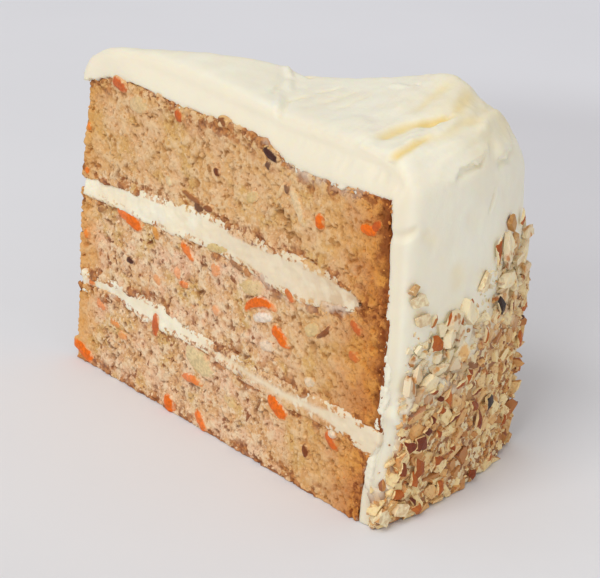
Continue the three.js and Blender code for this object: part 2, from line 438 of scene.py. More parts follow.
def lay(piece, where, out, along, turn):
    """Lay a piece against a face that looks out, its length turned away from along."""
    turned = math.radians(turn)
    first = along * math.cos(turned) + UP * math.sin(turned)
    second = out.cross(first)
    turn_in = Matrix((first, second, out)).transposed().to_4x4()
    piece.data.transform(Matrix.Translation(where) @ turn_in)


def count_triangles(piece):
    return sum(len(face.vertices) - 2 for face in piece.data.polygons)


def finish_piece(piece, slot, *replaced, smooth=True):
    """Put the piece in the slice and say which frame nodes it stands for."""
    for vertex in piece.data.vertices:
        if vertex.co.z < 0:
            vertex.co.z *= PRESSED
    make_active(piece)
    if smooth:
        bpy.ops.object.shade_smooth()
    else:
        bpy.ops.object.shade_flat()
    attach(piece, "root")
    if replaced:
        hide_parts(*replaced)
    print(piece.name, "has", count_triangles(piece), "triangles")
    return piece


def new_tree(name, kind, inputs, output):
    """An empty node tree with named inputs and one output."""
    tree = bpy.data.node_groups.new(name, kind)
    for way, sockets in (("INPUT", inputs), ("OUTPUT", (output,))):
        for label, holds in sockets:
            tree.interface.new_socket(label, in_out=way, socket_type="NodeSocket" + holds)
    start = add_node(tree, "NodeGroupInput")
    end = add_node(tree, "NodeGroupOutput")
    return tree, start.outputs, end.inputs


def geometry_tree(name, *inputs):
    """An empty geometry tree with a Geometry input and output and further named inputs."""
    shape = ("Geometry", "Geometry")
    return new_tree(name, "GeometryNodeTree", (shape, *inputs), shape)


def own_normal(tree):
    return add_node(tree, "GeometryNodeInputNormal").outputs[0]


def place_in_mm(tree):
    position = add_node(tree, "GeometryNodeInputPosition").outputs[0]
    return scaled(tree, vector_maths(tree, "SUBTRACT", position, AXIS), 1 / MM)


def moved(tree, geometry, offset):
    """Move every point by an offset in mm."""
    node = add_node(tree, "GeometryNodeSetPosition")
    feed(tree, node.inputs["Geometry"], geometry)
    feed(tree, node.inputs["Offset"], scaled(tree, offset, MM))
    return node.outputs[0]


def moved_out(tree, geometry, height):
    """Move every point along its normal by a height in mm."""
    return moved(tree, geometry, scaled(tree, own_normal(tree), height))


def stored(tree, geometry, name, value, domain="POINT"):
    """Keep a number for each point under a name, for the finish to read."""
    node = add_node(tree, "GeometryNodeStoreNamedAttribute", data_type="FLOAT", domain=domain)
    feed(tree, node.inputs["Geometry"], geometry)
    feed(tree, node.inputs["Name"], name)
    feed(tree, node.inputs["Value"], value)
    return node.outputs[0]


def kept_faces(tree, solids, keep):
    """The faces of other objects that the test keeps, as one geometry."""
    joined = add_node(tree, "GeometryNodeJoinGeometry")
    for solid in solids:
        info = add_node(tree, "GeometryNodeObjectInfo")
        feed(tree, info.inputs["Object"], solid)
        tree.links.new(info.outputs["Geometry"], joined.inputs[0])
    part = add_node(tree, "GeometryNodeSeparateGeometry", domain="FACE")
    feed(tree, part.inputs["Geometry"], joined.outputs[0])
    feed(tree, part.inputs["Selection"], keep)
    return part.outputs["Selection"]


def nearest_in(tree, geometry):
    """The nearest place on some faces, and how far off it is in mm."""
    nearness = add_node(tree, "GeometryNodeProximity", target_element="FACES")
    feed(tree, nearness.inputs[0], geometry)
    return nearness.outputs["Position"], maths(tree, "DIVIDE", nearness.outputs["Distance"], MM)


def nearest_on(tree, *solids, keep=True):
    """The same, on other objects or on the faces of them that are kept."""
    return nearest_in(tree, kept_faces(tree, solids, keep))


def nearest_normal(tree, geometry):
    """The way that the nearest of some faces looks."""
    node = add_node(tree, "GeometryNodeSampleNearestSurface", data_type="FLOAT_VECTOR")
    feed(tree, node.inputs["Mesh"], geometry)
    feed(tree, node.inputs["Value"], own_normal(tree))
    return node.outputs["Value"]


def evened(tree, geometry, weight, rounds):
    """Even out the surface where the weight says, by a number of rounds of blur."""
    blur = add_node(tree, "GeometryNodeBlurAttribute", data_type="FLOAT_VECTOR")
    feed(tree, blur.inputs["Value"], add_node(tree, "GeometryNodeInputPosition").outputs[0])
    feed(tree, blur.inputs["Iterations"], rounds)
    feed(tree, blur.inputs["Weight"], weight)
    node = add_node(tree, "GeometryNodeSetPosition")
    feed(tree, node.inputs["Geometry"], geometry)
    feed(tree, node.inputs["Position"], blur.outputs[0])
    return node.outputs[0]


def facing_cut(tree, side):
    return vector_maths(tree, "DOT_PRODUCT", own_normal(tree), cut_out(side))


def facing_cuts(tree):
    """How far a face looks the way of one of the two cuts."""
    return maths(tree, "MAXIMUM", facing_cut(tree, NEAR), facing_cut(tree, FAR))


def outward(tree, place):
    """The level direction away from the cake's axis."""
    return vector_maths(tree, "NORMALIZE", flat_part(tree, place))


def facing_out(tree, place):
    return vector_maths(tree, "DOT_PRODUCT", own_normal(tree), outward(tree, place))


# %% [markdown]
# Cake crumb is a foam. Small lumps of baked batter stand proud, and between them are pores
# where gas bubbles were, with a few torn holes. The knife drags crumbs out, so the cut is
# rough at every size. The tree below builds that from noise: slow waves, lumps of two
# sizes, and pits of two sizes wherever a further noise is low, which gives pores and torn
# holes of uneven outline. The pores stand closer together in some places than in others.

# %% Crumb relief
WAVE_SIZE, WAVE_HEIGHT = 9.0, 0.9
LUMP_SIZE, LUMP_HEIGHT = 2.6, 1.9
GRAIN_SIZE, GRAIN_HEIGHT = 0.9, 0.7
PORE_SIZE, PORE_DEPTH = 1.5, 0.7
TEAR_SIZE, TEAR_DEPTH = 4.5, 1.3
SEAM_SIZE, SEAM_HEIGHT = 5.0, 3.2
CROWD_SIZE, CROWD_SHARE = 7.0, 0.35
# Below the first value of its noise a pit begins, and at the second it is at its deepest
PORE_EDGE, TEAR_EDGE = (0.41, 0.31), (0.36, 0.28)

crumb, crumb_in, crumb_out = geometry_tree(
    "crumb_relief",
    ("Solid", "Object"),
    ("Cream", "Object"),
)
place = place_in_mm(crumb)
ragged = pushed(crumb, place, 1.4, 0.45)
wave = centred_noise(crumb, place, WAVE_SIZE)
lump = centred_noise(crumb, ragged, LUMP_SIZE, detail=3.0, roughness=0.6)
grain = centred_noise(crumb, ragged, GRAIN_SIZE, detail=1.0)
crowd = centred_noise(crumb, shifted(crumb, place, 30, 3, 9), CROWD_SIZE, detail=1.0)
pore_noise = noise(crumb, ragged, PORE_SIZE, detail=1.5, distortion=0.4)
pore = span(crumb, maths(crumb, "MULTIPLY_ADD", crowd, CROWD_SHARE, pore_noise), *PORE_EDGE)
tear = span(crumb, noise(crumb, ragged, TEAR_SIZE, detail=3.0, roughness=0.6), *TEAR_EDGE)
height = weighted_sum(
    crumb,
    (wave, WAVE_HEIGHT),
    (lump, LUMP_HEIGHT),
    (grain, GRAIN_HEIGHT),
    (pore, -PORE_DEPTH),
    (tear, -TEAR_DEPTH),
)

# %% [markdown]
# Two distances are kept on every point for the finish to read. One is the depth below the
# layer's baked outside, which is darker than the crumb; faces that look the way of a cut or
# of the tip don't count as baked. The other is the distance to the frosting, because a knife
# that comes through frosting leaves a thin smear of it on the crumb beside it. Pores and
# lumps are kept too, for the painted shade in the pores and painted light on the lumps.
#
# Beside the frosting one more noise lifts or sinks the crumb, over lumps of a few mm. There
# crumb and frosting overlap, and whichever stands prouder is seen, so the seam wanders. It
# does so everywhere but at the rim.

# %% Distances from the crust and the frosting
OPEN_FACE = 0.9
# Within so many mm of frosting the crumb is smoother, down to this share of its height
CALMED_WITHIN, CALMED_TO = 1.6, 0.7
SEAM_REACH = (2.4, 1.2)
SEAM_ENDS = (110.0, 104.0)

to_tip = vector_maths(crumb, "DOT_PRODUCT", own_normal(crumb), (-1, 0, 0))
open_face = maths(crumb, "MAXIMUM", facing_cuts(crumb), to_tip)
baked = maths(crumb, "LESS_THAN", open_face, OPEN_FACE)
_, crust_depth = nearest_on(crumb, crumb_in["Solid"], keep=baked)
_, cream_depth = nearest_on(crumb, crumb_in["Cream"])
calmed = span(crumb, cream_depth, 0.0, CALMED_WITHIN, CALMED_TO, 1.0)
seam = centred_noise(crumb, shifted(crumb, place, 17, 23, 5), SEAM_SIZE, detail=3.0, roughness=0.6)
inner = span(crumb, radius_of(crumb, place), *SEAM_ENDS)
seam = product(crumb, seam, inner, span(crumb, cream_depth, *SEAM_REACH))
height = weighted_sum(crumb, (height, calmed), (seam, SEAM_HEIGHT))

made = stored(crumb, crumb_in["Geometry"], "crust_depth", crust_depth)
made = stored(crumb, made, "cream_depth", cream_depth)
made = stored(crumb, made, "pore", maths(crumb, "MAXIMUM", pore, tear))
made = stored(crumb, made, "lump", lump)
feed(crumb, crumb_out["Geometry"], moved_out(crumb, made, height))
print("crumb relief has", len(crumb.nodes), "nodes")

# %% [markdown]
# Each layer is a little fuller than its solid above and below, so that it reaches into the
# frosting and no gap shows. The tip is carried forward a little, because a remesh rounds off
# so thin an edge; on the top layer it leans back. That layer is also drawn in at its upper
# corner, which the frosting wraps, and sunk a little below the thick frosting on top.
#
# A layer has far more small faces than it needs where filling and frosting hide it. Those
# faces go into a vertex group, and a Decimate modifier thins that group first.

# %% Sponge layers
SPONGE_FACE = 0.305
LAYER_OVERLAP = 0.5
TIP_REACH = 1.3
# How near the tip the top layer leans back, how far, and between which heights it starts to
TOP_LEAN_REACH, TOP_TIP_LEAN, TOP_LEAN_HEIGHTS = 10.0, 2.6, (60.0, 82.0)
TOP_SINK = 0.9
SPONGE_WALL, COAT_WALL = 114.3, 114.6
CORNER_DRAWN_IN = 2.8
CORNER_HEIGHTS = (56.0, 74.0)
HIDDEN_INSET = 2.2
MOST_TRIANGLES = 190000


def lies_flat(normal, _):
    return abs(normal.z) > 0.7


def faces_up(normal, _):
    return normal.z > 0.7


def faces_tip(normal, _):
    return normal.x < -0.9


def carry_tip(piece, reach):
    """Move the narrow face at the tip forward by so many mm."""
    pick_faces(piece, faces_tip)
    bpy.ops.transform.translate(value=(-reach * MM, 0, 0))
    bpy.ops.object.mode_set(mode="OBJECT")


def thin_hidden(piece):
    """Thin the faces that lie more than HIDDEN_INSET mm behind both cuts."""
    group = piece.vertex_groups.new(name="hidden")
    hidden = []
    for vertex in piece.data.vertices:
        place = vertex.co - AXIS
        behind = min(-place.dot(cut_out(NEAR)), -place.dot(cut_out(FAR)))
        if behind > HIDDEN_INSET * MM:
            hidden.append(vertex.index)
    group.add(hidden, 1.0, "REPLACE")
    ratio = min(1.0, MOST_TRIANGLES / count_triangles(piece))
    apply_modifier(piece, "DECIMATE", ratio=ratio, vertex_group="hidden")


def make_sponge(node):
    piece = solid_copy(node, "crumb_" + node)
    swell(piece, lies_flat, LAYER_OVERLAP)
    carry_tip(piece, TIP_REACH)
    if node == "sponge_top":
        lean_tip(piece, TOP_LEAN_REACH, (TOP_TIP_LEAN, 0, 0), *TOP_LEAN_HEIGHTS)
        draw_in(piece, SPONGE_WALL)
        swell(piece, faces_up, -TOP_SINK)
    remesh(piece, SPONGE_FACE)
    apply_nodes(piece, crumb, Solid=frame["nodes"][node], Cream=all_cream)
    thin_hidden(piece)
    return finish_piece(piece, "sponge", node)


SPONGE_NODES = ("sponge_bottom", "sponge_middle", "sponge_top")
FROSTING_NODES = ("frosting_coat", "filling_upper", "filling_lower")
all_cream = make_guide("cream_guide", FROSTING_NODES)
all_crumb = make_guide("crumb_guide", SPONGE_NODES)
sponges = [make_sponge(node) for node in SPONGE_NODES]
bpy.data.objects.remove(all_cream)

# %% [markdown]
# Colours are written as they look on a screen, from 0 to 255, and turned into the linear
# values that shaders use. What more than one finish needs is a node group: it is built once,
# has named inputs, and each finish places it with its own values.


# %% Finish helpers
def paint(red, green, blue):
    linear = []
    for value in (red, green, blue):
        share = value / 255
        linear.append(share / 12.92 if share <= 0.04045 else ((share + 0.055) / 1.055) ** 2.4)
    return (*linear, 1.0)


def mixed(tree, factor, first, second, blend="MIX"):
    node = add_node(tree, "ShaderNodeMix", data_type="RGBA", blend_type=blend)
    feed(tree, node.inputs[0], factor)
    feed(tree, node.inputs[6], first)
    feed(tree, node.inputs[7], second)
    return node.outputs[2]


def layered(tree, colour, *rows):
    """Lay tones over a colour, one after another. Each row has the tone, the value that
    brings it in, from which to which of that value, and how much of the tone at most."""
    for tone, value, low, high, most in rows:
        colour = mixed(tree, span(tree, value, low, high, 0.0, most), colour, tone)
    return colour


def new_material(name):
    """A material with its Principled shader, and places in mm measured from the cake's axis."""
    material = bpy.data.materials.new(name)
    material.use_nodes = True
    tree = material.node_tree
    shader = tree.nodes["Principled BSDF"]
    coordinates = add_node(tree, "ShaderNodeTexCoord").outputs["Object"]
    centred = vector_maths(tree, "SUBTRACT", coordinates, AXIS)
    return material, tree, shader, scaled(tree, centred, 1 / MM)


def attribute(tree, name):
    return add_node(tree, "ShaderNodeAttribute", attribute_name=name).outputs["Fac"]


def set_surface(tree, shader, colour, roughness, specular=0.5):
    """Give the shader its colour, and say how rough and how shiny it is."""
    feed(tree, shader.inputs["Base Color"], colour)
    shader.inputs["Roughness"].default_value = roughness
    shader.inputs["Specular IOR Level"].default_value = specular


def soften(shader, weight, radii):
    """Let light travel a little way inside, by so many mm for red, green and blue."""
    shader.inputs["Subsurface Weight"].default_value = weight
    shader.inputs["Subsurface Radius"].default_value = radii
    shader.inputs["Subsurface Scale"].default_value = MM


def shader_group(name, inputs, output):
    return new_tree(name, "ShaderNodeTree", inputs, output)


def group_texture(tree, start, detail):
    """Noise in a group, whose place and size come from the group's own inputs."""
    node = add_node(tree, "ShaderNodeTexNoise")
    node.inputs["Detail"].default_value = detail
    feed(tree, node.inputs["Vector"], start["Place"])
    feed(tree, node.inputs["Scale"], maths(tree, "DIVIDE", 1.0, start["Size"]))
    return node


def placed(tree, group, **values):
    """Place a group in a finish, with values for its named inputs."""
    node = add_node(tree, "ShaderNodeGroup", node_tree=group)
    for label, value in values.items():
        feed(tree, node.inputs[label], value)
    return node.outputs[0]


# %% Fine grain, for every finish
fine_grain, start, end = shader_group(
    "fine_grain",
    [("Place", "Vector"), ("Size", "Float"), ("Roughness", "Float")],
    ("Height", "Float"),
)
texture = group_texture(fine_grain, start, 4.0)
feed(fine_grain, texture.inputs["Roughness"], start["Roughness"])
feed(fine_grain, end["Height"], texture.outputs[0])


def bump(tree, shader, place, size, distance, roughness=0.6):
    """Fine relief that is too small to model, of a size and height in mm."""
    node = add_node(tree, "ShaderNodeBump")
    node.inputs["Strength"].default_value = 1.0
    node.inputs["Distance"].default_value = distance * MM
    height = placed(tree, fine_grain, Place=place, Size=size, Roughness=roughness)
    feed(tree, node.inputs["Height"], height)
    feed(tree, shader.inputs["Normal"], node.outputs[0])


# %% Two tones, for every finish
two_tones, start, end = shader_group(
    "two_tones",
    [("Place", "Vector"), ("Size", "Float"), ("First", "Color"), ("Second", "Color")],
    ("Colour", "Color"),
)
texture = group_texture(two_tones, start, 3.0)
share = span(two_tones, texture.outputs[0], 0.35, 0.65)
feed(two_tones, end["Colour"], mixed(two_tones, share, start["First"], start["Second"]))


def in_two_tones(tree, place, size, first, second):
    """A colour that wanders between two tones, in patches about size across."""
    return placed(tree, two_tones, Place=place, Size=size, First=first, Second=second)


# %% [markdown]
# The crumb is tan, pinker in the middle of a layer, and deeper towards the rim, where it baked
# longest; near the thin tip a painted golden glow stands for light shining through it. Spice
# and bits of nut skin make brown flecks, and thin brown lines run where the foam tore. Pores
# get painted shade and the lumps between them painted light. The same colours are needed on
# loose crumbs, and on carrot where crumb sticks to it, so they are a node group too.

# %% Colours of the crumb
# Where each tone comes in: a radius in mm, or for the top layer a height
PAINTED_TIP_GLOW = (12.0, 0.0)
TOP_LAYER_GOLD = (52.0, 62.0)
OUTER_GOLD = (70.0, 92.0)
RIM_BROWN = (82.0, 112.0)

crumb_tones, start, end = shader_group(
    "crumb_tones",
    [("Place", "Vector"), ("Lump", "Float"), ("Pore", "Float")],
    ("Colour", "Color"),
)
tree = crumb_tones
place = start["Place"]
lump = start["Lump"]
ragged = pushed(tree, place, 1.2, 0.5)
radius = radius_of(tree, place)
patches = noise(tree, place, 7.0, detail=3.0)
yellow = noise(tree, shifted(tree, place, 40, 7, 90), 9.0, detail=3.0)
pink = noise(tree, shifted(tree, place, 8, 70, 21), 8.0, detail=2.0)
fine = noise(tree, ragged, 0.8, detail=2.0, roughness=0.6)
specks = noise(tree, shifted(tree, ragged, 11, 60, 33), 2.4, detail=2.0)
torn = maths(tree, "ABSOLUTE", centred_noise(tree, ragged, 2.4, detail=2.0))
torn_here = noise(tree, shifted(tree, place, 3, 50, 8), 5.0, detail=3.0)
torn = product(tree, span(tree, torn, 0.035, 0.0), span(tree, torn_here, 0.50, 0.60), 0.4)

colour = layered(
    tree,
    paint(230, 182, 128),
    (paint(240, 200, 162), patches, 0.38, 0.62, 1.0),
    (paint(222, 182, 112), yellow, 0.50, 0.64, 0.8),
    (paint(240, 190, 156), pink, 0.54, 0.68, 0.6),
    # Painted light on the lumps, and painted shade between them
    (paint(248, 222, 184), lump, -0.02, 0.12, 0.75),
    (paint(184, 120, 68), lump, -0.05, -0.17, 0.5),
    (paint(250, 228, 196), fine, 0.54, 0.68, 0.6),
    (paint(166, 100, 54), fine, 0.42, 0.30, 0.6),
)
colour = mixed(tree, torn, colour, paint(128, 66, 34))
colour = layered(tree, colour, (paint(138, 72, 34), specks, 0.37, 0.29, 0.85))
# Painted shade in the pores
colour = mixed(tree, product(tree, start["Pore"], 0.7), colour, paint(132, 72, 34))
# Painted golden glow near the tip, for light shining through the thin crumb
colour = layered(tree, colour, (paint(232, 170, 90), radius, *PAINTED_TIP_GLOW, 0.75))
golden = maths(
    tree,
    "MAXIMUM",
    span(tree, height_of(tree, place), *TOP_LAYER_GOLD, 0.0, 0.4),
    span(tree, radius, *OUTER_GOLD, 0.0, 0.5),
)
colour = mixed(tree, golden, colour, paint(224, 172, 98))
rim_tone = layered(
    tree,
    paint(228, 152, 62),
    (paint(204, 120, 38), patches, 0.38, 0.6, 1.0),
    (paint(150, 78, 22), fine, 0.46, 0.32, 0.7),
)
rim_tone = mixed(tree, torn, rim_tone, paint(112, 54, 18))
rim = span(tree, radius, *RIM_BROWN, 0.0, 0.92)
colour = mixed(tree, product(tree, rim, rim), colour, rim_tone)
feed(tree, end["Colour"], colour)
print("crumb tones has", len(tree.nodes), "nodes")

# %% Sponge finish
# Between these heights the deepest crust grows from the first depth to the second, in mm
CRUST_HEIGHTS, CRUST_DEPTHS = (68.0, 74.0), (6.0, 7.8)
# The side's crust comes in where the radius and up to so many mm of noise pass these two
SIDE_CRUST_NOISE, SIDE_CRUST = 14.0, (117.0, 120.5)

sponge_finish, tree, shader, place = new_material("carrot_sponge")
radius = radius_of(tree, place)
height_up = height_of(tree, place)
pore = attribute(tree, "pore")
colour = placed(tree, crumb_tones, Place=place, Lump=attribute(tree, "lump"), Pore=pore)

crust_noise = noise(tree, place, 4.6, detail=4.0, roughness=0.6)
crust_most = span(tree, height_up, *CRUST_HEIGHTS, *CRUST_DEPTHS)
crust_reach = span(tree, crust_noise, 0.45, 0.62, 0.05, crust_most)
crust = span(tree, attribute(tree, "crust_depth"), crust_reach, product(tree, crust_reach, 0.3))
crust_tone = in_two_tones(tree, place, 1.3, paint(122, 52, 22), paint(198, 124, 62))
colour = mixed(tree, product(tree, crust, 0.8), colour, crust_tone)
side_noise = noise(tree, place, 3.2, detail=4.0, roughness=0.6)
drawn_in = span(tree, height_up, *CORNER_HEIGHTS, 0.0, CORNER_DRAWN_IN)
side_crust = weighted_sum(tree, (radius, 1.0), (drawn_in, 1.0), (side_noise, SIDE_CRUST_NOISE))
colour = layered(tree, colour, (paint(130, 62, 20), side_crust, *SIDE_CRUST, 0.8))

# %% [markdown]
# The smear of frosting lies on the crumb only near a seam and comes and goes along it. It is
# widest in two zones towards the rim: below the upper filling, where the knife dragged it
# down, and under the frosting on top.

# %% Frosting smears on the crumb
# Radii and heights in mm where each zone starts, is full, starts to fade and ends
DRAGGED_RADII, DRAGGED_HEIGHTS = (58.0, 74.0, 98.0, 108.0), (34.0, 46.0, 54.0, 58.0)
UNDER_TOP_RADII, UNDER_TOP_FROM = (66.0, 78.0, 102.0, 110.0), (70.0, 75.0)
# How far a smear reaches from the frosting, in mm, and how much further in those zones
SMEAR_REACH, SMEAR_FURTHER = 1.0, 3.4

dragged = product(
    tree,
    between(tree, radius, *DRAGGED_RADII),
    between(tree, height_up, *DRAGGED_HEIGHTS),
)
under_top = product(
    tree,
    between(tree, radius, *UNDER_TOP_RADII),
    span(tree, height_up, *UNDER_TOP_FROM),
)
smear_zone = maths(tree, "MAXIMUM", dragged, under_top)
smear_reach = maths(tree, "MULTIPLY_ADD", smear_zone, SMEAR_FURTHER, SMEAR_REACH)
smear = span(tree, attribute(tree, "cream_depth"), smear_reach, 0.0)
smear_noise = noise(tree, shifted(tree, place, 5, 20, 70), 5.0, detail=2.0)
least = maths(tree, "MULTIPLY_ADD", smear_zone, -0.12, 0.54)
smear_noise = maths(tree, "SUBTRACT", smear_noise, least)
smear = product(tree, smear, span(tree, smear_noise, 0.0, 0.16), 0.75)
colour = mixed(tree, smear, colour, paint(228, 208, 186))
set_surface(tree, shader, colour, 0.85, 0.25)
bump(tree, shader, place, 0.4, 0.22, roughness=0.75)

for piece in sponges:
    piece.data.materials.append(sponge_finish)

# %% [markdown]
# Loose crumbs cling to both cuts. One crumb is a ball of twenty faces pushed out of shape,
# and Geometry Nodes scatter copies of a few such crumbs over the cut faces of the layers,
# each with its own turn, size and tint. The instances are made real, so the result is one
# plain mesh. The shapes wait in a collection of their own, which goes once they are used.

# %% Crumb shapes
CRUMB_KINDS = 8
CRUMB_SEED = 5

crumb_finish, tree, shader, place = new_material("cake_crumbs")
tint = attribute(tree, "tint")
lumpy = maths(tree, "MULTIPLY_ADD", tint, 0.44, -0.22)
colour = placed(tree, crumb_tones, Place=place, Lump=lumpy, Pore=0.0)
set_surface(tree, shader, colour, 0.85, 0.25)
bump(tree, shader, place, 0.3, 0.1)


def set_aside(collection_name, pieces):
    """Move pieces to a collection of their own, for a scatter to draw from."""
    group = bpy.data.collections.new(collection_name)
    bpy.context.scene.collection.children.link(group)
    for piece in pieces:
        for home in list(piece.users_collection):
            home.objects.unlink(piece)
        group.objects.link(piece)
    return group


def drop_collection(group):
    for piece in list(group.objects):
        bpy.data.objects.remove(piece)
    bpy.data.collections.remove(group)


def make_crumb(index):
    """A twenty-faced ball one mm across, pushed out of shape."""
    dice = random.Random(CRUMB_SEED + index)
    bpy.ops.mesh.primitive_ico_sphere_add(subdivisions=1, radius=0.5 * MM)
    grain = bpy.context.object
    grain.name = "crumb_shape_" + str(index)
    grain.data.materials.append(crumb_finish)
    bpy.ops.object.mode_set(mode="EDIT")
    bpy.ops.transform.vertex_random(offset=0.3 * MM, seed=CRUMB_SEED + index)
    bpy.ops.transform.resize(value=[dice.uniform(0.5, 1.3) for _ in range(3)])
    bpy.ops.object.mode_set(mode="OBJECT")
    return grain


crumb_set = set_aside("crumb_shapes", [make_crumb(index) for index in range(CRUMB_KINDS)])
print("made", CRUMB_KINDS, "kinds of crumb")


# %% Scatter tree
# So many spots are tried that only the spacing thins them
MOST_PER_SQUARE_METRE = 4.0e6


def random_value(tree, kind, low, high, seed):
    node = add_node(tree, "FunctionNodeRandomValue", data_type=kind)
    first = 0 if kind == "FLOAT_VECTOR" else 2
    node.inputs[first].default_value = low
    node.inputs[first + 1].default_value = high
    node.inputs["Seed"].default_value = seed
    return node.outputs[0 if kind == "FLOAT_VECTOR" else 1]


def scatter_tree(name, density, grounds, spacing, sink, tilt, sizes, seed):
    """A tree that scatters a collection's pieces over a solid, as thick as density says,
    and sets each one down on the nearest of the grounds."""
    tree, start, end = geometry_tree(name, ("Pieces", "Collection"))
    spots = add_node(tree, "GeometryNodeDistributePointsOnFaces", distribute_method="POISSON")
    feed(tree, spots.inputs["Mesh"], start["Geometry"])
    feed(tree, spots.inputs["Density Factor"], density(tree))
    spots.inputs["Distance Min"].default_value = spacing * MM
    spots.inputs["Density Max"].default_value = MOST_PER_SQUARE_METRE
    spots.inputs["Seed"].default_value = seed
    ground, _ = nearest_on(tree, *grounds)
    inwards = scaled(tree, spots.outputs["Normal"], -sink * MM)
    set_down = add_node(tree, "GeometryNodeSetPosition")
    feed(tree, set_down.inputs["Geometry"], spots.outputs["Points"])
    feed(tree, set_down.inputs["Position"], vector_maths(tree, "ADD", ground, inwards))
    sunk = set_down.outputs[0]

    shapes = add_node(tree, "GeometryNodeCollectionInfo")
    feed(tree, shapes.inputs["Collection"], start["Pieces"])
    shapes.inputs["Separate Children"].default_value = True
    shapes.inputs["Reset Children"].default_value = True

    lean = (tilt, tilt, math.pi)
    turn = random_value(tree, "FLOAT_VECTOR", [-v for v in lean], lean, seed)
    turned = add_node(tree, "FunctionNodeRotateRotation", rotation_space="LOCAL")
    feed(tree, turned.inputs[0], spots.outputs["Rotation"])
    feed(tree, turned.inputs[1], turn)

    copies = add_node(tree, "GeometryNodeInstanceOnPoints")
    feed(tree, copies.inputs["Points"], sunk)
    feed(tree, copies.inputs["Instance"], shapes.outputs[0])
    copies.inputs["Pick Instance"].default_value = True
    feed(tree, copies.inputs["Rotation"], turned.outputs[0])
    feed(tree, copies.inputs["Scale"], random_value(tree, "FLOAT", *sizes, seed + 1))
    tint = random_value(tree, "FLOAT", 0.0, 1.0, seed + 2)
    tinted = stored(tree, copies.outputs[0], "tint", tint, domain="INSTANCE")
    real = add_node(tree, "GeometryNodeRealizeInstances")
    feed(tree, real.inputs[0], tinted)
    feed(tree, end["Geometry"], real.outputs[0])
    return tree


def crumb_density(tree):
    """Only on the cuts, and thick in some places, thin in others."""
    there = maths(tree, "GREATER_THAN", facing_cuts(tree), 0.95)
    return product(tree, there, span(tree, noise(tree, place_in_mm(tree), 9.0), 0.35, 0.65, 0.15, 1.0))


# %% Crumbs on the cuts
# In mm, with the lean in radians: spacing, how far sunk, lean, smallest and largest size
CRUMB_LAYER = (1.5, 0.1, 1.5, (0.4, 1.1))

crumb_scatter = scatter_tree(
    "crumb_scatter", crumb_density, sponges, *CRUMB_LAYER, CRUMB_SEED)
crumb_layers = []
for node in SPONGE_NODES:
    layer = solid_copy(node, "crumbs_" + node)
    apply_nodes(layer, crumb_scatter, Pieces=crumb_set)
    crumb_layers.append(layer)
drop_collection(crumb_set)
finish_piece(join_pieces(crumb_layers, "loose_crumbs"), "sponge", smooth=False)

# %% [markdown]
# Cream-cheese frosting is soft and holds the marks of the knife. The two fillings are the
# solids of the frame, swollen a little so that they grip the crumb above and below, and
# gently uneven, as squeezed frosting is. The crumb around them does the rest: it covers
# their edges here and there. The upper filling thins out towards the rim.

# %% Cream relief
CREAM_PROUD = 0.3
# Over so many mm of radius a filling that fades sinks by up to so many mm
FADE_LENGTH, FADE_DEPTH = 18.0, 0.75

cream, cream_in, cream_out = geometry_tree(
    "cream_relief",
    ("Crumb", "Object"),
    ("Soft", "Float"),
    ("Ragged", "Float"),
    ("Fade", "Float"),
)
place = place_in_mm(cream)
fade_end = maths(cream, "ADD", cream_in["Fade"], FADE_LENGTH)
fade = span(cream, radius_of(cream, place), cream_in["Fade"], fade_end, 0.0, FADE_DEPTH)
height = weighted_sum(
    cream,
    (centred_noise(cream, place, 7.0), cream_in["Soft"]),
    (centred_noise(cream, place, 2.4, detail=2.0), cream_in["Ragged"]),
    (fade, -1.0),
    (CREAM_PROUD, 1.0),
)
_, crumb_depth = nearest_on(cream, cream_in["Crumb"])
made = stored(cream, cream_in["Geometry"], "crumb_depth", crumb_depth)
feed(cream, cream_out["Geometry"], moved_out(cream, made, height))

# %% Fillings
CREAM_FACE = 0.4
GRIP = 1.4
SOFT_HEIGHT, RAGGED_HEIGHT = 1.5, 0.8
# The radius in mm at which each filling starts to fade, past the rim for the lower one
LOWER_FADE, UPPER_FADE = 200.0, 84.0


def make_filling(node, fade):
    piece = solid_copy(node, "cream_" + node)
    swell(piece, lies_flat, GRIP)
    remesh(piece, CREAM_FACE)
    apply_modifier(piece, "SMOOTH", factor=0.5, iterations=5)
    apply_nodes(piece, cream, Crumb=all_crumb, Soft=SOFT_HEIGHT, Ragged=RAGGED_HEIGHT, Fade=fade)
    return finish_piece(piece, "frosting", node)


fillings = [make_filling("filling_lower", LOWER_FADE), make_filling("filling_upper", UPPER_FADE)]
bpy.data.objects.remove(all_crumb)

# %% [markdown]
# The frosting over the top and side is one piece. Its inner faces are pushed into the
# sponge a little, so no gap shows. Where it was cut, its edges sag to a soft round. To round
# an edge between two faces, each point near it is pulled towards the middle of a circle that
# touches both. A point needs to know how deep it lies under the cut, and how deep under the
# outside, which is the distance to the nearest outer face of the solid. A blur of the
# positions near the edge then takes away any crease that is left.

# %% Rounded edges
# How round an edge is, in mm, on the side and on the top
ROUND = {NEAR: (3.6, 6.5), FAR: (2.0, 2.2)}
ROUND_HEIGHTS = (70.0, 84.0)
# The slice narrows to its tip, so the share of that roundness left at the tip is small
TIP_ROUND, FULL_ROUND_RADIUS = 0.08, 32.0
EDGE_ROUNDS = 30


def is_outside(tree):
    """Faces of the coat that look up or outwards."""
    looks_up = height_of(tree, own_normal(tree))
    looks = maths(tree, "MAXIMUM", facing_out(tree, place_in_mm(tree)), looks_up)
    return maths(tree, "GREATER_THAN", looks, 0.2)


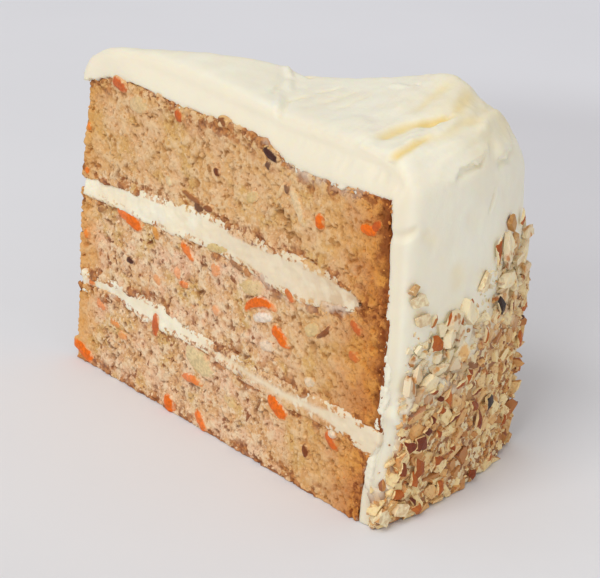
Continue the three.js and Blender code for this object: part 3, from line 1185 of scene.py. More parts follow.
def rounded_edge(tree, geometry, solid, side):
    """Pull the edge between a cut and the outside back to a round, then even it out."""
    place = place_in_mm(tree)
    out = cut_out(side)
    reach = span(tree, height_of(tree, place), *ROUND_HEIGHTS, *ROUND[side])
    left = span(tree, radius_of(tree, place), 0.0, FULL_ROUND_RADIUS, TIP_ROUND, 1.0)
    reach = product(tree, reach, left)
    under_cut = product(tree, vector_maths(tree, "DOT_PRODUCT", place, out), -1.0)
    under_cut = maths(tree, "MAXIMUM", under_cut, 0.0)
    skin = kept_faces(tree, [solid], is_outside(tree))
    _, under_outside = nearest_in(tree, skin)
    outwards = nearest_normal(tree, skin)

    share_cut = maths(tree, "DIVIDE", under_cut, reach)
    share_outside = maths(tree, "DIVIDE", under_outside, reach)
    close = product(tree, span(tree, share_cut, 2.0, 0.8), span(tree, share_outside, 2.0, 0.8))
    geometry = stored(tree, geometry, "edge", close)

    across = maths(tree, "MAXIMUM", maths(tree, "SUBTRACT", reach, under_cut), 0.0)
    above = maths(tree, "MAXIMUM", maths(tree, "SUBTRACT", reach, under_outside), 0.0)
    squares = maths(tree, "MULTIPLY_ADD", above, above, maths(tree, "MULTIPLY", across, across))
    length = maths(tree, "MAXIMUM", maths(tree, "SQRT", squares), 0.001)
    pull = maths(tree, "DIVIDE", maths(tree, "SUBTRACT", length, reach), length)
    pull = maths(tree, "MAXIMUM", pull, 0.0)
    corner = vector_maths(tree, "ADD", scaled(tree, out, across), scaled(tree, outwards, above))
    geometry = moved(tree, geometry, scaled(tree, corner, product(tree, pull, -1.0)))
    edge = add_node(tree, "GeometryNodeInputNamedAttribute", data_type="FLOAT")
    edge.inputs["Name"].default_value = "edge"
    return evened(tree, geometry, edge.outputs["Attribute"], EDGE_ROUNDS)


soft_edges, edges_in, edges_out = geometry_tree("soft_edges", ("Solid", "Object"))
made = edges_in["Geometry"]
for side in (NEAR, FAR):
    made = rounded_edge(soft_edges, made, edges_in["Solid"], side)
feed(soft_edges, edges_out["Geometry"], made)
print("soft edges has", len(soft_edges.nodes), "nodes")

# %% [markdown]
# The knife leaves strokes: a soft hollow, or a ridge between two of them. Each stroke is a
# straight line, and how much of it lies at a point depends on the distance to that line. On
# the top the line runs between two places given by radius and angle, on the side between
# two given by angle and height. Hollows get a painted yellow shade, so their share is kept
# for the finish, and so is how far each face looks the way of a cut, for painted shade there.

# %% Knife marks
# Each row: radius and angle where a stroke starts and where it ends, its half width, its
# depth (a ridge is negative), and how much painted yellow shade it gets
TOP_STROKES = [
    (97.6, -10.4, 99.8, -3.4, 1.5, 0.9, 0.8),
    (99.6, -4.4, 104.8, 2.0, 1.3, 0.9, 1.0),
    (107.2, -14.6, 106.7, -4.6, 1.6, 0.9, 1.0),
    (101.0, -9.4, 104.8, -2.4, 1.1, -0.45, 0.0),
    (110.4, -9.4, 111.8, 1.6, 1.2, -0.55, 0.0),
    (111.8, 0.4, 108.6, 13.6, 1.3, -0.8, 0.0),
    (109.0, -7.0, 108.4, 7.0, 1.2, 0.4, 0.3),
    (104.4, 2.0, 102.0, 12.0, 1.8, 0.4, 0.5),
    (96.6, -2.0, 97.6, 11.0, 1.4, 0.4, 0.35),
    (93.5, -4.0, 92.5, 12.0, 1.2, -0.4, 0.0),
    (53.6, 14.0, 58.0, 6.3, 1.1, -0.7, 0.0),
    (58.0, 6.3, 62.0, -1.0, 1.1, -0.6, 0.0),
    (55.6, 14.6, 62.7, 10.3, 0.9, 0.7, 0.3),
    (62.0, -4.0, 67.6, -12.0, 1.0, -0.5, 0.0),
    (65.0, -4.0, 70.4, -13.0, 1.0, 0.5, 0.15),
    (68.0, 1.4, 71.4, 6.2, 0.7, 0.5, 0.2),
    (65.4, -5.8, 67.8, -0.4, 0.7, 0.45, 0.2),
    (60.4, -6.0, 59.2, 0.2, 0.7, 0.4, 0.1),
    (74.0, -3.0, 76.5, 6.0, 0.9, 0.35, 0.1),
    (79.0, -5.0, 81.0, 5.0, 0.9, 0.3, 0.1),
    (83.0, 8.8, 89.0, 6.4, 1.2, -0.5, 0.0),
    (90.2, 8.0, 90.9, 8.6, 0.5, 0.5, 0.0),
    (86.4, -4.6, 96.7, -11.7, 2.4, -0.5, 0.0),
    (96.7, -11.7, 103.3, -14.5, 2.4, -0.5, 0.0),
]
# Each row: angle and height where a stroke starts and where it ends, half width, depth, shade
SIDE_STROKES = [
    (-15.2, 73.8, -12.4, 76.0, 1.3, 0.6, 0.2),
    (-11.8, 75.0, -9.2, 69.6, 1.8, 0.4, 0.15),
    (1.2, 72.2, 3.1, 77.2, 0.7, 0.7, 0.1),
    (-4.0, 75.0, -0.4, 69.6, 2.6, 0.4, 0.1),
    (-5.4, 64.0, -4.2, 56.0, 3.0, 0.2, 0.25),
    (-15.0, 32.0, -12.0, 26.0, 1.6, -0.8, 0.0),
]
SIDE_RADIUS = 116.5
TOP_FROM = 77.0
# The height in mm of the soft waves, and of the fine lines dragged along the knife's way:
# at least, and how much more of them between two radii
SOFT_WAVES = 0.8
LEAST_DRAG, MORE_DRAG, DRAG_RADII = 0.1, 0.8, (60.0, 92.0)


def unrolled(degrees, height):
    """A place on the side in mm, as if the side were rolled out flat."""
    return Vector((math.radians(degrees) * SIDE_RADIUS, height, 0))


def line_share(tree, flat_place, start, end, half_width):
    """How much of a stroke lies at a point, from 0 beside it to 1 on its line."""
    along = end - start
    offset = vector_maths(tree, "SUBTRACT", flat_place, start)
    share = vector_maths(tree, "DOT_PRODUCT", offset, along / along.length_squared)
    held = maths(tree, "MINIMUM", maths(tree, "MAXIMUM", share, 0.0), 1.0)
    foot = scaled(tree, combined(tree, *along), held)
    aside = vector_maths(tree, "LENGTH", vector_maths(tree, "SUBTRACT", offset, foot))
    return product(
        tree,
        span(tree, aside, half_width * 1.5, 0.0),
        span(tree, share, -0.1, 0.3),
        span(tree, share, 1.1, 0.7),
    )


knife, knife_in, knife_out = geometry_tree("knife_marks")
place = place_in_mm(knife)
radius = radius_of(knife, place)
degrees = degrees_of(knife, place)
height_up = height_of(knife, place)
looks_up = height_of(knife, own_normal(knife))
on_top = product(knife, span(knife, height_up, TOP_FROM, TOP_FROM + 5), span(knife, looks_up, 0.3, 0.7))
on_side = span(knife, height_up, TOP_FROM + 4, TOP_FROM)

spread = combined(knife, product(knife, radius, 0.45), product(knife, degrees, 0.09))
drag = centred_noise(knife, spread, 1.0, detail=3.0)
rim = maths(knife, "MULTIPLY_ADD", span(knife, radius, *DRAG_RADII), MORE_DRAG, LEAST_DRAG)
underside = span(knife, looks_up, -0.2, -0.7)
seam = centred_noise(knife, shifted(knife, place, 4, 61, 19), SEAM_SIZE, detail=3.0, roughness=0.6)
height = weighted_sum(
    knife,
    (centred_noise(knife, place, 9.0), SOFT_WAVES),
    (drag, product(knife, rim, on_top)),
    (seam, product(knife, underside, 2 * SEAM_HEIGHT)),
)

top_place = flat_part(knife, pushed(knife, place, 10.0, 1.2))
side_place = combined(knife, product(knife, degrees, math.radians(SIDE_RADIUS)), height_up)
yellow = 0.0
for table, end_at, where, flat_place in (
    (TOP_STROKES, from_axis, on_top, top_place),
    (SIDE_STROKES, unrolled, on_side, side_place),
):
    for first, second, third, fourth, half_width, depth, shade in table:
        ends = (end_at(first, second), end_at(third, fourth))
        mask = product(knife, line_share(knife, flat_place, *ends, half_width), where)
        height = maths(knife, "MULTIPLY_ADD", mask, -depth, height)
        if shade:
            yellow = maths(knife, "MULTIPLY_ADD", mask, shade, yellow)
# Shares for the painted shade in the hollows and on faces that look the way of a cut
made = stored(knife, knife_in["Geometry"], "hollow_shade", yellow)
made = stored(knife, made, "in_cut", span(knife, facing_cuts(knife), 0.3, 0.8))
feed(knife, knife_out["Geometry"], moved_out(knife, made, height))
print("knife marks has", len(knife.nodes), "nodes")

# %% Frosting coat
COAT_FACE = 0.5
COAT_GRIP_DOWN, COAT_GRIP_IN = 2.0, 0.2
COAT_TIP_REACH = 0.6
# How near the tip the coat is lifted, how far, and between which heights it starts to be
COAT_LIFT_REACH, COAT_TIP_LIFT, COAT_LIFT_HEIGHTS = 16.0, 2.6, (82.0, 86.0)


def faces_down(normal, _):
    return normal.z < -0.5


def faces_in(normal, place):
    outward = (place - AXIS) * Vector((1, 1, 0))
    return abs(normal.z) < 0.5 and normal.dot(outward.normalized()) < -0.5


coat = solid_copy("frosting_coat", "cream_coat")
draw_in(coat, COAT_WALL)
swell(coat, faces_down, COAT_GRIP_DOWN)
swell(coat, faces_in, COAT_GRIP_IN)
carry_tip(coat, COAT_TIP_REACH)
lean_tip(coat, COAT_LIFT_REACH, (0, 0, COAT_TIP_LIFT), *COAT_LIFT_HEIGHTS)
remesh(coat, COAT_FACE)
apply_nodes(coat, soft_edges, Solid=frame["nodes"]["frosting_coat"])
apply_modifier(coat, "SMOOTH", factor=0.5, iterations=10)
apply_nodes(coat, knife)
finish_piece(coat, "frosting", "frosting_coat")

# %% Frosting finish
# The frosting on top is yellower beyond this radius, past this angle and above this height
YELLOWER_RADII, YELLOWER_DEGREES, YELLOWER_HEIGHTS = (88.0, 106.0), (-8.0, 4.0), (80.0, 88.0)
# Frosting that looks the way of a cut gets painted shade, a little darker, most of all at the rim
CUT_SHADE_RADII, CUT_SHADE_SHARES = (100.0, 112.0), (0.7, 1.0)

frosting_finish, tree, shader, place = new_material("cream_cheese_frosting")
radius = radius_of(tree, place)
colour = in_two_tones(tree, place, 12.0, paint(247, 239, 217), paint(250, 244, 224))
yellower_top = product(
    tree,
    span(tree, radius, *YELLOWER_RADII),
    span(tree, degrees_of(tree, place), *YELLOWER_DEGREES),
    span(tree, height_of(tree, place), *YELLOWER_HEIGHTS),
    span(tree, noise(tree, place, 8.0), 0.3, 0.7, 0.5, 1.0),
)
# Painted yellow shade in the knife's hollows, added to the yellower top
shade = maths(tree, "MULTIPLY_ADD", yellower_top, 0.35, attribute(tree, "hollow_shade"))
shade = maths(tree, "MINIMUM", shade, 1.0)
colour = mixed(tree, shade, colour, paint(246, 220, 150))
# Painted shade on faces that look the way of a cut
painted_cut_shade = product(tree, attribute(tree, "in_cut"), span(tree, radius, *CUT_SHADE_RADII, *CUT_SHADE_SHARES))
colour = mixed(tree, painted_cut_shade, colour, paint(236, 226, 202))
set_surface(tree, shader, colour, 0.5, 0.35)
soften(shader, 0.3, (2.0, 1.4, 0.7))
bump(tree, shader, place, 0.8, 0.05)
coat.data.materials.append(frosting_finish)

# %% [markdown]
# Between the layers the frosting has taken up some colour from the crumb, most of all in the
# outer half of the slice. Crumb sticks to it beside the layers in ragged patches, which have
# the crumb's own colours. Towards the rim the upper filling is so thin that it looks brownish.

# %% Filling finish
TAKEN_UP_RADII, TAKEN_UP = (44.0, 66.0), 0.6
# Crumb sticks most between these radii, and more to the lower filling than to the upper one
STUCK_RADII, STUCK_HEIGHTS, STUCK_SHARES = (50.0, 62.0, 92.0, 100.0), (46.0, 40.0), (0.45, 1.0)
# How far stuck crumb reaches into a filling, in mm, and how much further where most sticks
STUCK_REACH, STUCK_FURTHER = 0.8, 1.3
THIN_RADII, THIN_HEIGHTS = (82.0, 102.0), (40.0, 46.0)

filling_finish, tree, shader, place = new_material("filling_frosting")
radius = radius_of(tree, place)
height_up = height_of(tree, place)
colour = in_two_tones(tree, place, 6.0, paint(244, 230, 200), paint(250, 241, 217))
colour = layered(tree, colour, (paint(230, 208, 174), radius, *TAKEN_UP_RADII, TAKEN_UP))

much = between(tree, radius, *STUCK_RADII)
much = product(tree, much, span(tree, height_up, *STUCK_HEIGHTS, *STUCK_SHARES))
crumbly = centred_noise(tree, place, 1.1, detail=2.0)
patchy = noise(tree, place, 3.0, detail=4.0, roughness=0.6)
patchy = weighted_sum(tree, (patchy, 1.0), (crumbly, 0.6), (much, -0.18))
reach = maths(tree, "MULTIPLY_ADD", much, STUCK_FURTHER, STUCK_REACH)
near_crumb = span(tree, attribute(tree, "crumb_depth"), reach, 0.1)
stuck = product(tree, near_crumb, span(tree, patchy, 0.47, 0.40), 0.95)
stuck_lump = product(tree, crumbly, 0.9)
stuck_pore = span(tree, crumbly, -0.07, -0.14)
stuck_tone = placed(tree, crumb_tones, Place=place, Lump=stuck_lump, Pore=stuck_pore)
colour = mixed(tree, stuck, colour, mixed(tree, 0.15, stuck_tone, paint(186, 124, 72)))

thin = product(
    tree,
    span(tree, radius, *THIN_RADII, 0.0, 0.75),
    span(tree, height_up, *THIN_HEIGHTS),
    span(tree, noise(tree, place, 4.0, detail=3.0), 0.35, 0.55),
)
colour = mixed(tree, thin, colour, paint(214, 180, 140))
set_surface(tree, shader, colour, 0.55, 0.3)
soften(shader, 0.25, (2.0, 1.3, 0.7))
bump(tree, shader, place, 0.7, 0.08)
for piece in fillings:
    piece.data.materials.append(filling_finish)

# %% [markdown]
# The knife cut through grated carrot, soft fruit and nuts with the cake. Each bit starts as a
# cube: subdivided, drawn most of the way to a sphere, stretched to its size, bent, smoothed by
# a Subdivision Surface modifier and made uneven. It lies in the cut with most of its
# thickness sunk in the crumb, and crumb sticks to its edges, so each point keeps how near the
# edge of its bit it lies.

# %% Bits in the cut
BIT_THICKNESS = 2.8
BIT_ROUNDNESS = 0.7
# Crumb hides the rim of a bit, so each is made larger than what is seen of it
BIT_GROWTH = 1.16
# How proud of the cut a bit of full strength stands, in mm
BIT_PROUD = 0.6

# Each row: radius, height, length, width, turn in degrees, bend in degrees, tone, strength
CARROT = [
    (14.5, 81.1, 5.1, 2.4, -14, 0, 0.1, 0.9),
    (37.9, 79.9, 2.7, 2.2, -68, 0, 0.1, 0.9),
    (89.7, 69.8, 3.2, 2.3, -72, 0, 0.4, 1.0),
    (108.2, 75.0, 3.6, 1.8, 50, 0, 0.1, 0.9),
    (105.8, 73.4, 4.6, 2.2, 6, 0, 0.4, 1.0),
    (18.0, 47.5, 4.8, 2.6, -8, 0, 0.45, 0.9),
    (22.1, 46.6, 6.4, 3.3, -13, -20, 0.45, 1.0),
    (31.1, 46.6, 3.2, 1.9, -64, 0, 0.9, 0.8),
    (43.5, 46.1, 5.4, 1.9, -35, 0, 0.6, 0.9),
    (42.8, 36.7, 3.6, 1.7, 10, 0, 0.6, 0.7),
    (70.4, 42.6, 11.0, 2.2, 22, -110, 0.4, 1.0),
    (78.8, 36.5, 6.0, 2.8, -33, 0, 0.45, 1.0),
    (81.5, 48.1, 3.4, 1.9, -35, 0, 0.2, 0.8),
    (104.0, 48.5, 3.8, 1.9, -37, 0, 0.1, 0.8),
    (104.1, 41.0, 3.0, 2.0, -19, 0, 0.1, 0.7),
    (2.9, 2.9, 8.0, 3.1, -21, -25, 0.45, 1.0),
    (32.5, 21.5, 5.4, 2.4, -88, 0, 0.1, 0.9),
    (47.2, 12.3, 6.7, 1.9, 2, -30, 0.55, 0.8),
    (39.2, 1.9, 4.3, 3.4, -76, 0, 0.4, 1.0),
    (51.6, 2.4, 5.4, 2.4, -49, 0, 0.5, 0.9),
    (79.5, 17.8, 6.6, 3.5, -28, 0, 0.4, 1.0),
    (98.9, 16.8, 4.6, 2.2, -37, 0, 0.2, 0.9),
    (39.9, 38.7, 3.0, 2.0, -39, 0, 0.7, 0.5),
    (32.0, 34.0, 3.0, 2.2, -69, 0, 0.7, 0.5),
    (54.2, 44.8, 3.2, 2.8, -79, 0, 0.7, 0.6),
    (55.2, 34.3, 2.6, 2.2, -38, 0, 0.7, 0.5),
    (15.7, 15.9, 3.9, 2.1, -8, 0, 0.65, 0.6),
    (9.6, 18.9, 3.6, 2.6, -29, 0, 0.6, 0.6),
    (18.8, 13.4, 3.0, 2.0, 0, 0, 0.7, 0.5),
    (2.8, 66.2, 2.0, 1.5, -88, 0, 0.7, 0.9),
    (2.4, 54.2, 2.0, 1.4, -88, 0, 0.6, 0.9),
    (2.8, 36.7, 2.2, 1.6, -79, 0, 0.7, 0.9),
    (5.5, 23.7, 2.0, 1.5, -9, 0, 0.3, 0.7),
]
FRUIT = [
    (50.0, 18.2, 9.4, 5.0, -18, 0, 0.3, 0.95),
    (67.9, 45.0, 8.6, 3.6, 16, 0, 0.0, 0.5),
    (53.8, 50.6, 8.0, 2.2, 11, 0, 0.0, 0.55),
    (72.5, 39.0, 6.3, 2.3, 23, 0, 1.0, 0.85),
    (74.4, 32.2, 4.6, 2.6, 15, 0, 0.8, 0.65),
    (75.9, 72.6, 5.0, 1.4, 58, 25, 0.4, 0.45),
    (82.0, 71.1, 8.4, 2.4, -58, -20, 0.6, 0.65),
    (22.1, 78.0, 6.1, 3.8, 14, 0, 0.3, 0.6),
    (89.6, 42.3, 4.6, 2.8, 30, 0, 0.2, 0.6),
    (35.3, 62.0, 2.6, 1.8, -28, 0, 0.4, 0.8),
    (99.0, 18.8, 2.6, 1.8, 20, 0, 0.8, 0.8),
    (66.0, 68.0, 4.0, 2.4, 30, 0, 0.1, 0.5),
    (62.0, 12.0, 4.4, 2.6, -30, 0, 0.1, 0.4),
    (90.2, 28.9, 3.4, 2.2, 20, 0, 0.8, 0.65),
]
DARK_BITS = [
    (71.7, 80.6, 4.8, 2.0, -17, 0, 0.0, 1.0),
    (71.1, 77.6, 1.8, 1.6, -38, 0, 0.1, 0.9),
    (53.1, 70.3, 1.9, 1.7, -37, 0, 0.3, 1.0),
    (21.5, 35.6, 2.9, 1.5, 4, 0, 0.1, 1.0),
    (47.1, 59.0, 3.0, 2.2, -14, 0, 0.2, 0.9),
    (50.8, 59.9, 3.7, 1.5, 15, 0, 0.5, 0.9),
    (94.0, 43.2, 5.6, 1.2, 47, 30, 0.6, 0.9),
    (90.5, 10.5, 3.2, 1.7, -71, 0, 0.4, 1.0),
    (78.0, 74.0, 2.0, 1.4, -64, 0, 0.2, 0.8),
    (44.3, 60.7, 6.8, 1.5, -8, 0, 0.8, 0.9),
    (54.2, 83.3, 3.2, 1.7, -7, 0, 0.5, 0.9),
    (8.6, 45.4, 2.8, 1.4, 20, 0, 0.6, 0.7),
    (62.0, 48.9, 5.0, 1.3, -10, 0, 0.4, 0.7),
]
FAR_SEED = 7
# In the far cut, bits lie from the first of these radii over the length that follows, and no
# further than so many mm above or below the middle of a layer
FAR_FROM, FAR_LENGTH = 6, 99
LAYER_MIDDLES, FAR_SPREAD = (11, 36, 68), 9
chance = random.Random(FAR_SEED)


def far_rows(count, length, width):
    """Rows of the same form for the far cut, spread evenly from tip to rim."""
    rows = []
    for index in range(count):
        rows.append((
            FAR_FROM + FAR_LENGTH * (index + chance.random()) / count,
            chance.choice(LAYER_MIDDLES) + chance.uniform(-FAR_SPREAD, FAR_SPREAD),
            chance.uniform(*length),
            chance.uniform(*width),
            chance.uniform(-90, 90),
            chance.choice((0, 0, 20, -60)),
            chance.uniform(0.1, 0.9),
            chance.uniform(0.5, 1.0),
        ))
    return rows


bit_marks, marks_in, marks_out = geometry_tree(
    "bit_marks", ("Length", "Float"), ("Width", "Float"), ("Tone", "Float"), ("Strength", "Float"))
position = add_node(bit_marks, "GeometryNodeInputPosition").outputs[0]
shares = []
for index, label in enumerate(("Length", "Width")):
    off = product(bit_marks, channel(bit_marks, position, index), 2 / MM)
    shares.append(maths(bit_marks, "DIVIDE", off, marks_in[label]))
rim = vector_maths(bit_marks, "LENGTH", combined(bit_marks, *shares))
made = stored(bit_marks, marks_in["Geometry"], "rim", rim)
made = stored(bit_marks, made, "tone", marks_in["Tone"])
made = stored(bit_marks, made, "strength", marks_in["Strength"])
feed(bit_marks, marks_out["Geometry"], made)

bit_relief, relief_in, relief_out = geometry_tree("bit_relief", ("Height", "Float"))
uneven = centred_noise(bit_relief, place_in_mm(bit_relief), 1.5)
uneven = maths(bit_relief, "MULTIPLY", uneven, relief_in["Height"])
feed(bit_relief, relief_out["Geometry"], moved_out(bit_relief, relief_in["Geometry"], uneven))


def make_bit(side, radius, height, length, width, turn, bend, tone, strength):
    """One bit: a stretched cube, bent, rounded and laid in a cut."""
    length *= BIT_GROWTH
    width *= BIT_GROWTH
    bpy.ops.mesh.primitive_cube_add(size=MM)
    bit = bpy.context.object
    bpy.ops.object.mode_set(mode="EDIT")
    bpy.ops.mesh.subdivide(number_cuts=3)
    bpy.ops.transform.tosphere(value=BIT_ROUNDNESS)
    bpy.ops.transform.resize(value=(length, width, BIT_THICKNESS))
    bpy.ops.object.mode_set(mode="OBJECT")
    apply_nodes(bit, bit_marks, Length=length, Width=width, Tone=tone, Strength=strength)
    if bend:
        angle = math.radians(bend)
        apply_modifier(bit, "SIMPLE_DEFORM", deform_method="BEND", angle=angle, deform_axis="Z")
    apply_modifier(bit, "SUBSURF", levels=1, render_levels=1)
    where = on_cut(side, radius, height, BIT_PROUD * strength - BIT_THICKNESS / 2)
    lay(bit, where, cut_out(side), cut_along(side), turn if side == NEAR else turn + 180)
    return bit


def make_bits(name, near, far, relief, finish):
    """All the bits of one kind, in both cuts, as one piece with its finish."""
    bits = [make_bit(NEAR, *row) for row in near] + [make_bit(FAR, *row) for row in far]
    piece = join_pieces(bits, name)
    apply_nodes(piece, bit_relief, Height=relief)
    finish_piece(piece, "sponge")
    piece.data.materials.append(finish)


def bit_finish(name, dark, mid, light, rough, soft):
    """Three tones along a range, with crumb sticking to the edges of each bit."""
    material, tree, shader, place = new_material(name)
    tone = attribute(tree, "tone")
    colour = layered(tree, dark, (mid, tone, 0.0, 0.5, 1.0), (light, tone, 0.5, 1.0, 1.0))
    streaks = in_two_tones(tree, place, 0.9, paint(200, 200, 200), paint(255, 255, 255))
    colour = mixed(tree, 0.6, colour, streaks, blend="MULTIPLY")
    worn = centred_noise(tree, place, 1.2, detail=2.0)
    edge = maths(tree, "MULTIPLY_ADD", worn, 0.9, attribute(tree, "rim"))
    share = product(tree, span(tree, edge, 1.2, 0.85), attribute(tree, "strength"))
    crumb_colour = placed(tree, crumb_tones, Place=place, Lump=0.0, Pore=0.0)
    set_surface(tree, shader, mixed(tree, share, crumb_colour, colour), rough, 0.25)
    soften(shader, soft, (0.8, 0.5, 0.3))
    bump(tree, shader, place, 0.45, 0.12)
    return material


grated_carrot = bit_finish(
    "grated_carrot", paint(206, 84, 10), paint(250, 118, 12), paint(236, 162, 62), 0.45, 0.05)
pale_fruit = bit_finish(
    "pale_fruit", paint(222, 204, 140), paint(240, 214, 168), paint(252, 238, 220), 0.5, 0.3)
dark_skin = bit_finish(
    "dark_fruit_skin", paint(76, 38, 28), paint(140, 72, 28), paint(170, 104, 52), 0.45, 0.1)

# Each row: the piece, its rows in the near cut, then for the far cut how many, from how long
# to how long and from how wide to how wide, and last how uneven it is in mm, and its finish
for name, near, count, length, width, relief, finish in (
    ("carrot_shreds", CARROT, 26, (2.4, 7.5), (1.6, 2.8), 0.7, grated_carrot),
    ("fruit_chunks", FRUIT, 9, (3.0, 9.0), (2.2, 4.8), 0.8, pale_fruit),
    ("dark_bits", DARK_BITS, 12, (1.6, 4.6), (1.2, 2.0), 0.8, dark_skin),
):
    make_bits(name, near, far_rows(count, length, width), relief, finish)

# %% [markdown]
# Chopped nuts cover the lower part of the side. Under them lies a paste of fine nut dust and
# frosting, which is the nut band's solid drawn in and made lumpy; its dark brown also stands
# for painted shade in the gaps between the chips. Near the band's upper edge and near the cut
# corner the paste sinks behind the frosting, so that there the chips stand in bare frosting.
# How far a place lies below the upper edge follows the same wavy line as the frame's nut band.

# %% Nut paste
NUT_TOP_NEAR, NUT_TOP_FAR = 47.0, 66.0
NUT_WAVE, NUT_WAVE_TURNS = 3.0, 24.0
PASTE_FACE = 0.4
# The corner is bare between the cut and this angle, above this height
BARE_DEGREES, BARE_HEIGHTS = (-12.4, -13.6), (5.0, 12.0)
# How far the paste is drawn in everywhere, and how much further where it sinks, in mm
PASTE_SUNK, PASTE_FURTHER = -0.7, -3.2
# Where the paste sinks and where it is the colour of frosting, in mm below the upper edge
SUNK_BELOW, PALE_BELOW = (20.0, 9.0), (24.0, 12.0)
PASTE_LUMPS = 1.8


def below_nut_edge(tree, place):
    """How many mm a place lies below the upper edge of the nuts."""
    degrees = degrees_of(tree, place)
    angle = product(tree, degrees, math.radians(1))
    share = maths(tree, "DIVIDE", maths(tree, "ADD", degrees, HALF_DEGREES), 2 * HALF_DEGREES)
    top = maths(tree, "MULTIPLY_ADD", share, NUT_TOP_FAR - NUT_TOP_NEAR, NUT_TOP_NEAR)
    slow = maths(tree, "SINE", product(tree, angle, NUT_WAVE_TURNS))
    quick = maths(tree, "SINE", maths(tree, "MULTIPLY_ADD", angle, 2.4 * NUT_WAVE_TURNS, 1.0))
    wave = maths(tree, "MULTIPLY_ADD", quick, 0.6, slow)
    top = maths(tree, "MULTIPLY_ADD", wave, NUT_WAVE, top)
    return maths(tree, "SUBTRACT", top, height_of(tree, place))


def ragged_below(tree, place, size, wander, **settings):
    """The same, with lumps of noise of that size that move it by up to half of wander."""
    lumps = centred_noise(tree, place, size, **settings)
    return maths(tree, "MULTIPLY_ADD", lumps, wander, below_nut_edge(tree, place))


def bare_corner(tree, place):
    """Where the cut corner of the side shows frosting and no nuts."""
    edge = maths(tree, "MULTIPLY_ADD", centred_noise(tree, place, 6.0), 3.0, degrees_of(tree, place))
    high_enough = span(tree, height_of(tree, place), *BARE_HEIGHTS)
    return product(tree, span(tree, edge, *BARE_DEGREES), high_enough)


def open_side(tree, place):
    """How far a face of the nut band looks outwards, or the way of one of the cuts."""
    return maths(tree, "MAXIMUM", facing_out(tree, place), facing_cuts(tree))


paste_relief, paste_in, paste_out = geometry_tree("paste_relief")
tree = paste_relief
place = place_in_mm(tree)
sunk = span(tree, ragged_below(tree, place, 6.0, 16.0), *SUNK_BELOW)
sunk = maths(tree, "MAXIMUM", sunk, bare_corner(tree, place))
inwards = maths(tree, "MULTIPLY_ADD", sunk, PASTE_FURTHER, PASTE_SUNK)
lumps = centred_noise(tree, place, 2.2, detail=3.0, roughness=0.6)
lumps = product(tree, lumps, PASTE_LUMPS, span(tree, open_side(tree, place), 0.1, 0.7))
offset = vector_maths(
    tree,
    "ADD",
    scaled(tree, outward(tree, place), inwards),
    scaled(tree, own_normal(tree), lumps),
)
feed(tree, paste_out["Geometry"], moved(tree, paste_in["Geometry"], offset))

paste = solid_copy("nut_coat", "nut_paste")
remesh(paste, PASTE_FACE)
apply_nodes(paste, paste_relief)
finish_piece(paste, "nuts")

paste_finish, tree, shader, place = new_material("nut_dust_and_gap_shade")
share = channel(tree, cells(tree, pushed(tree, place, 1.2, 0.5), 1.5), 0)
# The dark brown base is partly nut dust and partly painted shade between the chips
colour = layered(
    tree,
    paint(150, 92, 46),
    (paint(212, 166, 112), share, 0.15, 0.5, 1.0),
    (paint(240, 220, 176), share, 0.6, 0.8, 1.0),
)
bare = span(tree, ragged_below(tree, place, 5.0, 22.0, detail=3.0), *PALE_BELOW)
bare = maths(tree, "MAXIMUM", bare, bare_corner(tree, place))
colour = mixed(tree, maths(tree, "MULTIPLY_ADD", bare, 0.9, 0.05), colour, paint(247, 240, 218))
set_surface(tree, shader, colour, 0.7)
soften(shader, 0.15, (1.6, 1.1, 0.6))
bump(tree, shader, place, 0.6, 0.2, roughness=0.7)
paste.data.materials.append(paste_finish)

# %% [markdown]
# A nut breaks into angular chips: pale flat breaks, and brown skin left round the rim. Each
# chip starts as a small ball that is bisected by a few planes. The cut faces are flesh, and
# what is left of the ball is skin. A slab is cut above and below and on four or five sides,
# a sliver on two sides and then stretched, and a flake keeps only a thin cap of the ball.
# Frosting clings to the chips in patches, more of it near the upper edge of the band.

# %% Nut chips
NUT_SEED = 21
CHIP_LENGTH = 4.6
# In mm below the upper edge of the band, where little and where most frosting clings
CREAMY_BELOW, CREAMY_SHARES = (28.0, 8.0), (0.05, 1.0)


def nut_material(name, dark, mid, light, rough):
    """Skin or flesh of a nut: three tones chosen by each chip's own tint."""
    material, tree, shader, place = new_material(name)
    tint = attribute(tree, "tint")
    mottle = noise(tree, place, 1.3, detail=4.0, roughness=0.6)
    colour = layered(
        tree,
        dark,
        (mid, tint, 0.0, 0.3, 1.0),
        (light, tint, 0.3, 0.6, 1.0),
        (dark, mottle, 0.52, 0.32, 0.6),
    )
    creamy = product(
        tree,
        span(tree, below_nut_edge(tree, place), *CREAMY_BELOW, *CREAMY_SHARES),
        span(tree, noise(tree, shifted(tree, place, 9, 4, 2), 2.6, detail=3.0), 0.34, 0.5),
        0.85,
    )
    colour = mixed(tree, creamy, colour, paint(243, 230, 196))
    set_surface(tree, shader, colour, rough)
    soften(shader, 0.15, (1.0, 0.6, 0.3))
    bump(tree, shader, place, 0.45, 0.2)
    return material


nut_skin = nut_material(
    "nut_skin", paint(126, 62, 22), paint(186, 104, 40), paint(214, 152, 84), 0.4)
nut_flesh = nut_material(
    "nut_flesh", paint(182, 112, 50), paint(230, 178, 110), paint(250, 222, 164), 0.6)


def chip_ball(name):
    """A ball of eighty faces, all skin, left in edit mode."""
    deselect()
    bpy.ops.mesh.primitive_ico_sphere_add(subdivisions=2, radius=0.5 * CHIP_LENGTH * MM)
    chip = bpy.context.object
    chip.name = name
    chip.data.materials.append(nut_skin)
    chip.data.materials.append(nut_flesh)
    bpy.ops.object.mode_set(mode="EDIT")
    return chip


def break_off(chip, direction, depth):
    """Break the ball along a plane at a share of its length; the break is flesh."""
    bpy.ops.mesh.select_all(action="SELECT")
    chip.active_material_index = 1
    bpy.ops.mesh.bisect(
        plane_co=direction * depth * CHIP_LENGTH * MM,
        plane_no=direction,
        use_fill=True,
        clear_outer=True,
    )
    bpy.ops.object.material_slot_assign()


